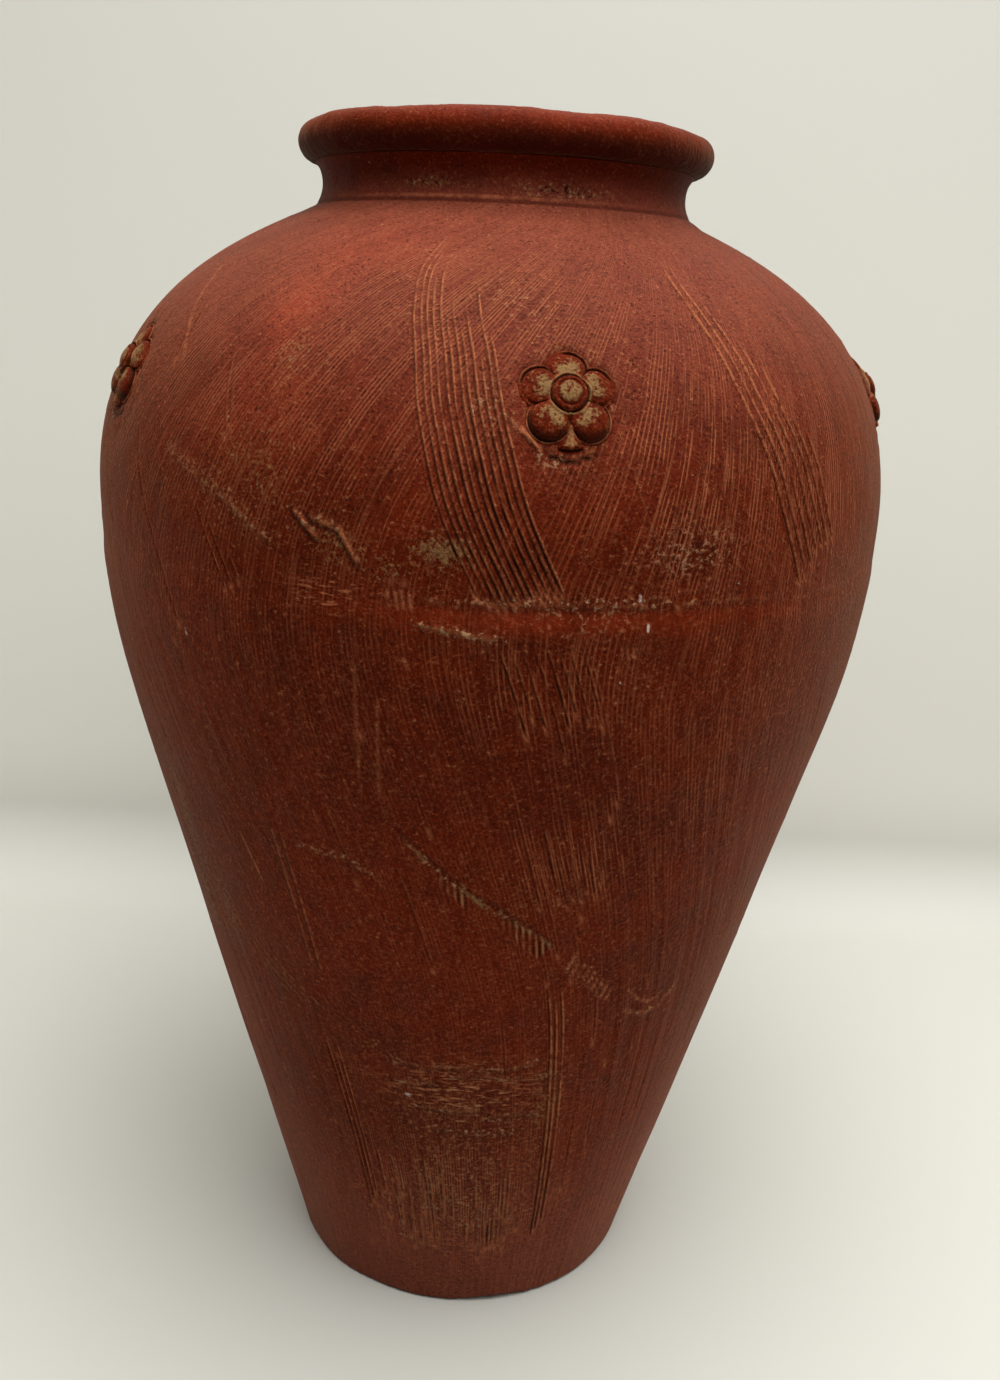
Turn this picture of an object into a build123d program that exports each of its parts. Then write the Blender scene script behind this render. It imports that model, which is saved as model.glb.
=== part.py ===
# Pithos: a tall storage jar raised in courses of clay, with five pressed rosettes.
# Millimetres, +Z up, origin at the middle of the flat base, on the floor.
import os
from math import cos, radians, sin, sqrt

from build123d import *

os.makedirs("parts", exist_ok=True)

# Base and straight lower wall
foot_radius = 83.0
foot_edge_round = 2.0
floor_thickness = 18.0
wall_thickness = 11.0
lower_wall_rise = 246.0
lower_wall_inset = 21.5

# Belly and shoulder, each rise counted from the level below it
belly_radius = 169.5
belly_rise = 120.0
shoulder_rise = 76.0
shoulder_inset = 22.5
crown_rise = 45.0
crown_slope = 68.0

# Neck and rolled lip
neck_base_radius = 79.0
neck_waist_radius = 76.4
neck_wall = 10.0
neck_foot_depth = 6.0
neck_waist_rise = 9.0
neck_rise = 25.0
roll_radius = 8.0
roll_overhang = 10.0
roll_seat_depth = 2.6
roll_seat_angle = 45.0

# Courses: the bevel of every lap joint and the places of the two joints by the belly
lap_angle = 42.0
seam_drop = 8.0
shoulder_course_length = 106.0

# Rosettes: one pressed sprig, repeated evenly round the shoulder
rosette_arc = 60.6
petal_count = 5
petal_ring = 10.4
petal_radius = 5.5
petal_height = 4.6
pad_radius = 12.0
pad_rise = 2.2
sprig_sink = 4.0
button_rise = 3.8
boss_radius = 3.6
boss_rise = 1.6
ring_inner = 4.3
ring_outer = 6.0
ring_rise = 0.9

# Levels worked out from the rises
belly_level = lower_wall_rise + belly_rise
shoulder_level = belly_level + shoulder_rise
neck_base_level = shoulder_level + crown_rise
roll_level = neck_base_level + neck_rise


def outward(tangent):
    """Outward normal of the wall, in radius and height, where its line runs along tangent."""
    return Vector(tangent.Y, -tangent.X)


def lap_direction(tangent):
    """Way that a lap joint runs into the wall: inwards and up, so the upper course laps outside."""
    bevel = radians(lap_angle)
    return tangent * sin(bevel) - outward(tangent) * cos(bevel)


# Outer face of the wall, from the floor to the neck, in radius and height
foot_corner = Vector(foot_radius, 0)
lower_wall_corner = Vector(belly_radius - lower_wall_inset, lower_wall_rise)
belly_point = Vector(belly_radius, belly_level)
shoulder_point = Vector(belly_radius - shoulder_inset, shoulder_level)
neck_corner = Vector(neck_base_radius, neck_base_level)
upright = Vector(0, 1)
lower_wall_way = (lower_wall_corner - foot_corner).normalized()
crown_way = Vector(-sin(radians(crown_slope)), cos(radians(crown_slope)))

with BuildLine() as outer_face:
    outer_lower = Line(foot_corner, lower_wall_corner)
    outer_belly = Spline(lower_wall_corner, belly_point, tangents=[lower_wall_way, upright])
    outer_shoulder = Spline(belly_point, shoulder_point, neck_corner, tangents=[upright, crown_way])

# Inner face, one wall thickness inside
lower_wall_inside = lower_wall_corner - outward(lower_wall_way) * wall_thickness
floor_corner = lower_wall_inside - lower_wall_way * (
    (lower_wall_inside.Y - floor_thickness) / lower_wall_way.Y
)
belly_inside = belly_point - outward(upright) * wall_thickness
shoulder_way = outer_shoulder.tangent_at(shoulder_point)
shoulder_inside = shoulder_point - outward(shoulder_way) * wall_thickness
neck_foot_inside = neck_corner - Vector(neck_wall, neck_foot_depth)

with BuildSketch() as wall_section:
    with BuildLine():
        add(outer_face.line)
        Line(neck_corner, neck_foot_inside)
        Spline(belly_inside, shoulder_inside, neck_foot_inside, tangents=[upright, crown_way])
        Spline(lower_wall_inside, belly_inside, tangents=[lower_wall_way, upright])
        Line(lower_wall_inside, floor_corner)
        Line(floor_corner, (0, floor_thickness))
        Line((0, floor_thickness), (0, 0))
        Line((0, 0), foot_corner)
    make_face()

# Lap joints, as points on the outer face with the way that each runs into the wall
lap_length = wall_thickness / cos(radians(lap_angle))
base_joint = floor_corner - lap_direction(lower_wall_way) * lap_length
seam_length = outer_lower.length + outer_belly.length - seam_drop
base_joint_length = (base_joint - foot_corner).length
course_names = ["foot_course", "lower_course", "middle_course", "belly_course"]
course_length = (seam_length - base_joint_length) / len(course_names)


def joint_at(length):
    """Place on the outer face, a length up its slope from the floor, and the joint's way in."""
    wire = outer_face.wire()
    place = wire.position_at(length, position_mode=PositionMode.LENGTH)
    tangent = wire.tangent_at(length, position_mode=PositionMode.LENGTH)
    return place, lap_direction(tangent)


# Courses of wall, each between two lap joints, from the foot to the neck
course_lows = [base_joint_length + step * course_length for step in range(len(course_names))]
course_joints = [joint_at(length) for length in course_lows + [seam_length]]
crown_joint = joint_at(outer_lower.length + outer_belly.length + shoulder_course_length)
neck_joint = (neck_corner, (neck_foot_inside - neck_corner).normalized())
course_names += ["shoulder_course", "crown_course"]
course_joints += [crown_joint, neck_joint]
lap_reach = 2 * lap_length


def joint_ends(joint):
    """Two points of a joint line, one well outside the wall and one well inside it."""
    place, way = joint
    return place - way * lap_reach, place + way * lap_reach


for name, low_joint, high_joint in zip(course_names, course_joints, course_joints[1:]):
    low_outside, low_inside = joint_ends(low_joint)
    high_outside, high_inside = joint_ends(high_joint)
    with BuildPart() as course:
        with BuildSketch(Plane.XZ):
            add(wall_section.sketch)
            with BuildLine():
                Polyline(low_outside, low_inside, high_inside, high_outside, close=True)
            make_face(mode=Mode.INTERSECT)
        revolve(axis=Axis.Z)
    course.part.label = name
    export_step(course.part, f"parts/{name}.step")

# Flat slab that closes the bottom, with a bevelled edge under the first course
with BuildPart() as base_disc:
    with BuildSketch(Plane.XZ):
        with BuildLine():
            Polyline((0, 0), foot_corner, base_joint, floor_corner, (0, floor_thickness), close=True)
        make_face()
    revolve(axis=Axis.Z)
    fillet(base_disc.edges().filter_by(GeomType.CIRCLE).sort_by(Axis.Z)[0], foot_edge_round)
base_disc.part.label = "base_disc"
export_step(base_disc.part, "parts/base_disc.step")

# Rolled lip and the bevelled seat that it shares with the top of the neck
roll_centre = Vector(neck_waist_radius + roll_overhang - roll_radius, roll_level)
seat_normal = Vector(cos(radians(roll_seat_angle)), sin(radians(roll_seat_angle)))
seat_middle = roll_centre - seat_normal * (roll_radius - roll_seat_depth)
seat_half = sqrt(roll_radius**2 - (roll_radius - roll_seat_depth) ** 2)
seat_way = Vector(seat_normal.Y, -seat_normal.X)
seat_outside = seat_middle + seat_way * seat_half
seat_inside = seat_middle - seat_way * seat_half

with BuildPart() as rim_roll:
    with BuildSketch(Plane.XZ):
        with BuildLine():
            Line(seat_inside, seat_outside)
            ThreePointArc(seat_outside, roll_centre + seat_normal * roll_radius, seat_inside)
        make_face()
    revolve(axis=Axis.Z)
rim_roll.part.label = "rim_roll"
export_step(rim_roll.part, "parts/rim_roll.step")

# Concave neck, standing in the mouth of the crown and flared under the lip
waist_outside = Vector(neck_waist_radius, neck_base_level + neck_waist_rise)
waist_inside = waist_outside - Vector(neck_wall, 0)

with BuildPart() as neck_collar:
    with BuildSketch(Plane.XZ):
        with BuildLine():
            ThreePointArc(neck_corner, waist_outside, seat_outside)
            Line(seat_outside, seat_inside)
            ThreePointArc(seat_inside, waist_inside, neck_foot_inside)
            Line(neck_foot_inside, neck_corner)
        make_face()
    revolve(axis=Axis.Z)
neck_collar.part.label = "neck_collar"
export_step(neck_collar.part, "parts/neck_collar.step")

# Middle of the sprig: a domed boss inside a raised ring
boss_sphere = (boss_radius**2 + boss_rise**2) / (2 * boss_rise)

with BuildPart() as button:
    with BuildSketch(Plane.XZ):
        with BuildLine():
            Line((0, -sprig_sink), (0, button_rise + boss_rise))
            RadiusArc((0, button_rise + boss_rise), (boss_radius, button_rise), boss_sphere)
            Line((boss_radius, button_rise), (ring_inner, button_rise))
            ThreePointArc(
                (ring_inner, button_rise),
                ((ring_inner + ring_outer) / 2, button_rise + ring_rise),
                (ring_outer, button_rise),
            )
            Line((ring_outer, button_rise), (ring_outer, -sprig_sink))
            Line((ring_outer, -sprig_sink), (0, -sprig_sink))
        make_face()
    revolve(axis=Axis.Z)

# Full round form of the shoulder, on which the sprigs are pressed
with BuildPart() as shoulder_form:
    with BuildSketch(Plane.XZ):
        with BuildLine():
            add(outer_shoulder)
            Polyline(neck_corner, (0, neck_base_level), (0, belly_level), belly_point)
        make_face()
    revolve(axis=Axis.Z)

# Five sprigs pressed on the shoulder, the first facing the front
rosette_names = ["front", "front_right", "back_right", "back_left", "front_left"]
rosette_step = 360 / len(rosette_names)
rosette_place = outer_shoulder.position_at(rosette_arc, position_mode=PositionMode.LENGTH)
rosette_way = outer_shoulder.tangent_at(rosette_arc, position_mode=PositionMode.LENGTH)
rosette_normal = outward(rosette_way)

for step, side in enumerate(rosette_names):
    turn = radians(step * rosette_step - 90)
    radial = Vector(cos(turn), sin(turn), 0)
    seat_plane = Plane(
        origin=radial * rosette_place.X + Vector(0, 0, rosette_place.Y),
        x_dir=Vector(-sin(turn), cos(turn), 0),
        z_dir=radial * rosette_normal.X + Vector(0, 0, rosette_normal.Y),
    )
    with BuildPart() as rosette:
        with Locations(seat_plane.offset(-sprig_sink)):
            Cylinder(pad_radius, sprig_sink + pad_rise, align=(Align.CENTER, Align.CENTER, Align.MIN))
        with Locations(seat_plane.offset(petal_height - petal_radius)):
            with PolarLocations(petal_ring, petal_count, start_angle=90):
                Sphere(petal_radius)
        with Locations(seat_plane):
            add(button.part)
        add(shoulder_form.part, mode=Mode.SUBTRACT)
    rosette.part.label = f"rosette_{side}"
    export_step(rosette.part, f"parts/rosette_{side}.step")
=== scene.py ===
from math import cos, pi, radians, sin

import bpy
import numpy as np
from mathutils import Matrix, Vector


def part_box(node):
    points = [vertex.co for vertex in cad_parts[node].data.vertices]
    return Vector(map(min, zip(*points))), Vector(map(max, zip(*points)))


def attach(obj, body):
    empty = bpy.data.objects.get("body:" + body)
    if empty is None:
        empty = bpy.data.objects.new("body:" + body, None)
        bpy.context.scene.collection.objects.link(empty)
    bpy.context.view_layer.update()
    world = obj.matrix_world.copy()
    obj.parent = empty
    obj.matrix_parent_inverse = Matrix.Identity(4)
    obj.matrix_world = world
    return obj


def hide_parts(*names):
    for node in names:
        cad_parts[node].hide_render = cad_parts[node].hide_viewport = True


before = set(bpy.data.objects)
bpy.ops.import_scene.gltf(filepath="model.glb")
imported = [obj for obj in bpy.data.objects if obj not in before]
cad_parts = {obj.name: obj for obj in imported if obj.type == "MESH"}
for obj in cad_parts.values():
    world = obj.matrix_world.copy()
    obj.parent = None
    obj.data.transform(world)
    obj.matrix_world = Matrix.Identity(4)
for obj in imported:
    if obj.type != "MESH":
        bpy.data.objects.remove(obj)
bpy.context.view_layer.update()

bl_info = {
    "name": "Pithos",
    "version": (1, 0, 0),
    "blender": (4, 5, 0),
    "location": "3D View > Sidebar > Pithos",
    "description": "Builds a combed storage jar with pressed rosettes round its fixed courses",
    "category": "Add Mesh",
}

MM = 0.001
COLUMNS = 1440
COURSES = (
    "foot_course",
    "lower_course",
    "middle_course",
    "belly_course",
    "shoulder_course",
    "crown_course",
)
ROSETTES = {
    "rosette_front": 0,
    "rosette_front_right": 72,
    "rosette_back_right": 144,
    "rosette_back_left": 216,
    "rosette_front_left": 288,
}
# Marks kept at the vertices: wear, dust, grit and chips, and also painted shade in grooves and
# hollows, painted highlights on lit edges and painted sheen where light falls
WEAR_AND_PAINTED_LIGHT = ("groove", "worn", "patina", "grit", "cross", "pale", "flush", "hatch", "smooth", "bloom")

# Way that the potter's strokes drift round the jar: height in mm, and turn in degrees from
# the level where the combs start
STROKE_DRIFT = (
    (0, 36.0), (32, 35.6), (80, 34.5), (131, 32.5), (200, 28.0), (214, 26.5), (262, 21.0),
    (315, 15.4), (345, 11.6), (362, 8.9), (376, 6.5), (390, 4.4), (406, 2.7), (421, 1.2),
    (437, 0.0), (452, -1.6), (464, -2.2), (475, -0.4), (487, 1.2),
)

# Bands of combing: start and spacing of the teeth in degrees, depth as a share, seed, slide of
# the lower end in degrees, crumbs, and the heights where the teeth start and end
COMBS = (
    (
        -19.2, 0.9, 1.0, 11, 0.0, 0.7,
        (478, 476, 472, 466, 470, 452, 458, 448, 456, 440, 462, 446),
        (359, 357, 355.5, 356, 357, 357.5, 358, 358.5, 359, 360, 360.5, 361.5),
    ),
    (
        22.3, 1.5, 1.1, 12, 1.6, 0.5,
        (472, 471, 460, 447, 440, 425, 418),
        (360, 362, 366, 371, 373, 373, 375),
    ),
    (-19.4, 1.4, 0.7, 13, 0.0, 0.0, (347,) * 8, (309, 316, 312, 300, 312, 318, 315, 312)),
    (-24.3, 1.3, 0.3, 14, 0.0, 0.0, (272, 268, 260), (196, 204, 210)),
    (
        -19.9, 1.15, 0.6, 15, 0.0, 0.0,
        (280, 270, 265, 263, 266, 262, 258),
        (238, 235, 238, 236, 240, 238, 243),
    ),
    (-24.3, 1.15, 1.0, 16, 0.0, 0.0, (196, 190, 196), (42, 47, 52)),
    (-69.0, 1.25, 0.95, 17, 0.0, 0.0, (160, 150, 158), (56, 60, 66)),
    (-52.5, 1.35, 0.8, 18, 0.0, 0.0, (385, 382, 372), (351, 353, 356)),
    (-57.5, 1.2, 0.55, 19, 0.0, 0.0, (452, 455), (428, 431)),
    (-45.6, 0.9, 0.5, 20, 0.0, 0.0, (438, 436), (404, 408)),
)
BACK_COMB_STARTS = (72, 118, 163, 209, 252)

# Single lines: path of azimuths in degrees and heights in mm, rise and half width in mm, and
# how rubbed and brightly lit by painted highlight, how crumbly and dusty they are, and how dark the
# painted shadow beside them is
SCRATCHES = (
    (((-17, 349), (-13.8, 348), (-10.4, 346), (-6.8, 345)), 0.45, 0.9, 0.5, 1.6, 1.0),
    (((-7.4, 418), (-5.1, 412.8), (-3.0, 407)), 0.9, 0.55, 3.0, 0.5, 0.0, 0.9),
    (((-20.6, 362.2), (-17.2, 362.6)), 0.3, 0.7, 0.8),
    (((-24.1, 336), (-24.4, 279)), 0.2, 0.5, 0.6),
    (((-22.9, 332), (-23.1, 284)), -0.2, 0.5),
    (((-21.4, 322), (-21.9, 280)), 0.2, 0.5, 0.6),
    (((-35.2, 252.6), (-28.5, 252), (-23.3, 245.4)), 0.25, 0.9, 0.3, 0.9, 0.5),
    (((-25.5, 42), (-16, 39.5)), 0.3, 0.9, 0.4, 0.9, 0.7),
    (((-52.6, 398), (-43.3, 386.5), (-34.5, 371)), 0.35, 1.6, 0.15, 0.75, 0.4),
    (((-64.9, 462), (-60, 446), (-54.6, 428)), 0.2, 0.6, 0.8),
    (((-69, 223), (-66, 209), (-65, 185)), 0.3, 2.0, 0.3, 1.6, 0.9),
    (((-47.3, 251.5), (-44.1, 227.5)), 0.3, 0.5, 0.9, 0.0, 0.0, 0.6),
    (((20.5, 186), (24, 178.5), (27, 176), (29.5, 178)), 0.3, 0.6, 0.8, 1.0, 0.4),
)
# Rows of like lines: azimuths of their starts, the path from there, and the values as above
SCRATCH_ROWS = (
    ((-20.2, -19.3, -18.5, -17.7), ((0, 361.5), (0.5, 352.5)), 0.3, 0.55, 0.9),
    ((7.2, 7.9, 8.6), ((0, 344), (0.4, 337)), 0.2, 0.5, 0.9),
    ((-40.1, -38.5), ((0, 258), (1.6, 225), (3.2, 192)), 0.35, 0.5, 0.8, 0.0, 0.0, 1.3),
    (
        (-57.0, -54.6, -52.4, -50.4),
        ((0, 200), (6.6, 184.5), (14, 171.5)),
        0.25, 0.45, 0.6, 0.3, 0.2, 1.0,
    ),
)
# Level crumbly lines low on the front
CRUMB_LINES = (
    ((-23.7, 153.5), (-17, 151), (-9, 153), (-2, 151.5), (5, 155)),
    ((-13, 147.5), (-5, 148.5), (1, 146), (9.5, 146.5)),
    ((-24, 142), (-19, 141.5), (-15, 143)),
    ((-19, 129), (-12, 127), (-6, 128.5)),
    ((-4, 124), (3, 126), (7, 124.5)),
    ((-16, 116), (-7, 114), (2, 115.5)),
)
# Long slanting edge where a stroke stopped, the crumbly curl beyond it, and a lifted flake
SMEAR_EDGE = (
    (-21.9, 281), (-21, 270), (-17.6, 260), (-13, 248.5),
    (-7.6, 237), (-4.2, 232), (0.5, 223), (5, 214),
)
CURL = ((18.6, 180), (22, 173.5), (25.5, 170.5), (29.5, 171.5), (31.6, 177), (32.3, 182))
FLAKE_EDGES = (
    (((-31.5, 383), (-28.9, 376)), 0.5),
    (((-29.4, 382), (-25.9, 379), (-23.8, 369)), 0.45),
)

# Spots of wear: azimuth in degrees, height, half width and half height in mm, and strength
PATINA_SPOTS = (
    (-14, 374, 10, 6, 1.2), (-20, 366, 8, 6, 0.6), (-35, 434, 10, 9, 0.6), (-38, 395, 34, 26, 0.5),
    (-26, 374, 12, 12, 0.6), (-8, 126, 26, 22, 0.5), (-10, 70, 30, 18, 0.5), (-27, 160, 8, 4, 0.7),
    (8, 120, 8, 44, 0.6), (-2, 236, 40, 14, 0.4), (-64, 245, 8, 46, 0.9), (-57, 205, 8, 30, 0.8),
    (-22, 455, 30, 20, 0.25), (42, 360, 24, 18, 0.3), (104, 380, 30, 26, 0.6),
    (150, 120, 40, 40, 0.8), (190, 300, 40, 24, 0.5), (236, 410, 26, 20, 0.5), (250, 150, 30, 40, 0.7),
)
GRIT_SPOTS = (
    (15, 375, 26, 12, 1.0), (2, 352, 26, 8, 0.7), (-6, 455, 22, 10, 0.7), (-8, 134, 34, 22, 0.65),
    (-9, 88, 32, 24, 0.6), (-10.2, 421.6, 5, 8, 0.6), (-14, 375, 11, 7, 0.8), (-8, 56, 40, 20, 0.5),
    (-30, 300, 30, 40, 0.12), (8, 330, 20, 14, 0.2), (-24, 200, 34, 40, 0.12), (34, 312, 20, 20, 0.2),
    (60, 350, 40, 20, 0.6), (140, 380, 40, 16, 0.8), (215, 365, 40, 16, 0.8),
)
LEVEL_RUBS = ((-27, 357, 13, 6, 1.5), (-8, 140, 34, 14, 1.5), (-8, 40, 18, 5, 1.5))
CHIPS = (
    (9.1, 360, 1.1, 3.0, 0.95), (10.3, 349.5, 0.8, 3.0, 0.95), (-49.8, 332.4, 1.3, 2.2, 0.95),
    (-3.2, 439, 0.5, 1.4, 0.95), (-20.5, 134, 2.4, 1.2, 0.95), (5.5, 1.0, 8, 1.6, 0.95),
    (7.6, 330, 0.7, 0.8, 0.95), (8.8, 330.3, 0.6, 0.7, 0.95), (10.4, 332.7, 0.7, 0.7, 0.95),
    (22.4, 362, 0.8, 2.2, 0.95),
)
FLUSH_SPOTS = ((-38, 450, 14, 16, 1.0), (-30, 470, 34, 10, 0.6), (-36, 415, 30, 18, 0.4))
HATCH_SPOTS = (
    (16, 400, 36, 36, 0.8), (-6, 452, 32, 16, 0.7), (-24, 430, 26, 40, 0.4), (-45, 430, 50, 45, 0.25),
    (38, 385, 26, 40, 0.4), (6, 255, 22, 18, 0.8), (24, 290, 30, 40, 0.35), (-2, 325, 26, 18, 0.5),
    (-12, 72, 40, 34, 0.9), (110, 410, 80, 45, 0.5), (200, 410, 80, 45, 0.5), (-100, 410, 60, 45, 0.4),
)
# Slants of the fine scraping: the same four sizes, and the slant in degrees
SCRAPE_SLANTS = (
    (-48, 430, 70, 60, 36), (-20, 435, 50, 50, 40), (-4, 458, 50, 22, 46), (18, 400, 60, 50, 22),
    (62, 410, 70, 50, 2), (120, 410, 70, 50, 22), (200, 410, 80, 50, 32), (262, 410, 60, 50, 4),
)


def smooth_line(points, at):
    """Height of a smooth line through a few points, read at each place in at."""
    x, y = np.array(points, float).T
    slope = np.gradient(y, x)
    i = np.clip(np.searchsorted(x, at) - 1, 0, len(x) - 2)
    step = x[i + 1] - x[i]
    t = np.clip((at - x[i]) / step, 0, 1)
    start = y[i] * (1 + 2 * t) * (1 - t) ** 2 + step * slope[i] * t * (1 - t) ** 2
    return start + y[i + 1] * t * t * (3 - 2 * t) + step * slope[i + 1] * t * t * (t - 1)


def ramp(value, low, high):
    """Smooth step from 0 at low to 1 at high."""
    t = np.clip((value - low) / (high - low), 0, 1)
    return t * t * (3 - 2 * t)


def bell(value, middle, width, power=2):
    """Soft hump of height 1 round a middle value."""
    return np.exp(-(((value - middle) / width) ** power))


def wrapped(degrees):
    """Angles brought into the half turn on each side of zero."""
    return (degrees + 180) % 360 - 180


def soft_noise(shape, across, along, seed):
    """Smooth random field of unit spread that repeats round the jar."""
    white = np.random.default_rng(seed).standard_normal(shape)
    around = np.fft.fftfreq(shape[0])[:, None]
    upward = np.fft.rfftfreq(shape[1])[None]
    gain = np.exp(-2 * (pi * across * around) ** 2 - 2 * (pi * along * upward) ** 2)
    field = np.fft.irfft2(np.fft.rfft2(white) * gain, shape)
    return field / field.std()


def cad_places(node):
    """Vertices of a CAD node, in millimetres."""
    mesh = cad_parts[node].data
    places = np.empty(len(mesh.vertices) * 3)
    mesh.vertices.foreach_get("co", places)
    return places.reshape(-1, 3) / MM


def stroke_columns():
    """Start angles of the wall's columns, closer together in front and closest under the combs."""
    angle = np.linspace(0, 360, 7201)
    crowd = np.full(angle.shape, 1.0)
    crowd += 0.45 * ramp(np.abs(wrapped(angle + 10)), 78, 70)
    for middle, reach in ((-17.5, 9.5), (28, 8), (-31, 11), (-8, 6)):
        crowd += 0.9 * ramp(np.abs(wrapped(angle - middle)), reach + 2, reach)
    passed = np.append(0, np.cumsum(0.5 * (crowd[1:] + crowd[:-1])))
    return np.interp(np.arange(COLUMNS) * passed[-1] / COLUMNS, passed, angle)


class WallOutline:
    """Outer line of the wall from the floor to the neck, read from the CAD courses, in mm."""

    STEP = 0.25
    INSIDE_RADIUS = 78.0

    def __init__(self):
        places = np.vstack([cad_places(node) for node in ("base_disc", *COURSES)])
        rings = np.column_stack([places[:, 2], np.hypot(places[:, 0], places[:, 1])])
        rings = np.unique(np.round(rings, 3), axis=0)
        line = []
        for height, radius in rings[rings[:, 1] > self.INSIDE_RADIUS]:
            while len(line) > 1 and self.bulges(line[-2], line[-1], (height, radius)):
                line.pop()
            line.append((height, radius))
        height, radius = np.array(line).T
        length = np.append(0, np.cumsum(np.hypot(np.diff(height), np.diff(radius))))
        self.total = length[-1]
        self.length = np.arange(0, self.total, self.STEP)
        self.radius = np.interp(self.length, length, radius)
        self.height = np.interp(self.length, length, height)
        slope_r = np.gradient(self.radius, self.STEP)
        slope_z = np.gradient(self.height, self.STEP)
        size = np.hypot(slope_r, slope_z)
        self.out_r = slope_z / size
        self.out_z = -slope_r / size

    @staticmethod
    def bulges(before, last, new):
        """True where the last point lies inside the line from the point before it to the new one."""
        rise, widen = last[0] - before[0], last[1] - before[1]
        return rise * (new[1] - before[1]) >= widen * (new[0] - before[0])

    def at(self, length):
        """Radius, height and outward direction at lengths along the line."""
        lists = (self.radius, self.height, self.out_r, self.out_z)
        return [np.interp(length, self.length, values) for values in lists]

    def length_at_height(self, height):
        """Length at a height."""
        return np.interp(height, self.height, self.length)

    def length_at_shoulder_radius(self, radius):
        """Length at a radius above the belly, where the line closes in."""
        widest = int(np.argmax(self.radius))
        return np.interp(-radius, -self.radius[widest:], self.length[widest:])


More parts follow.
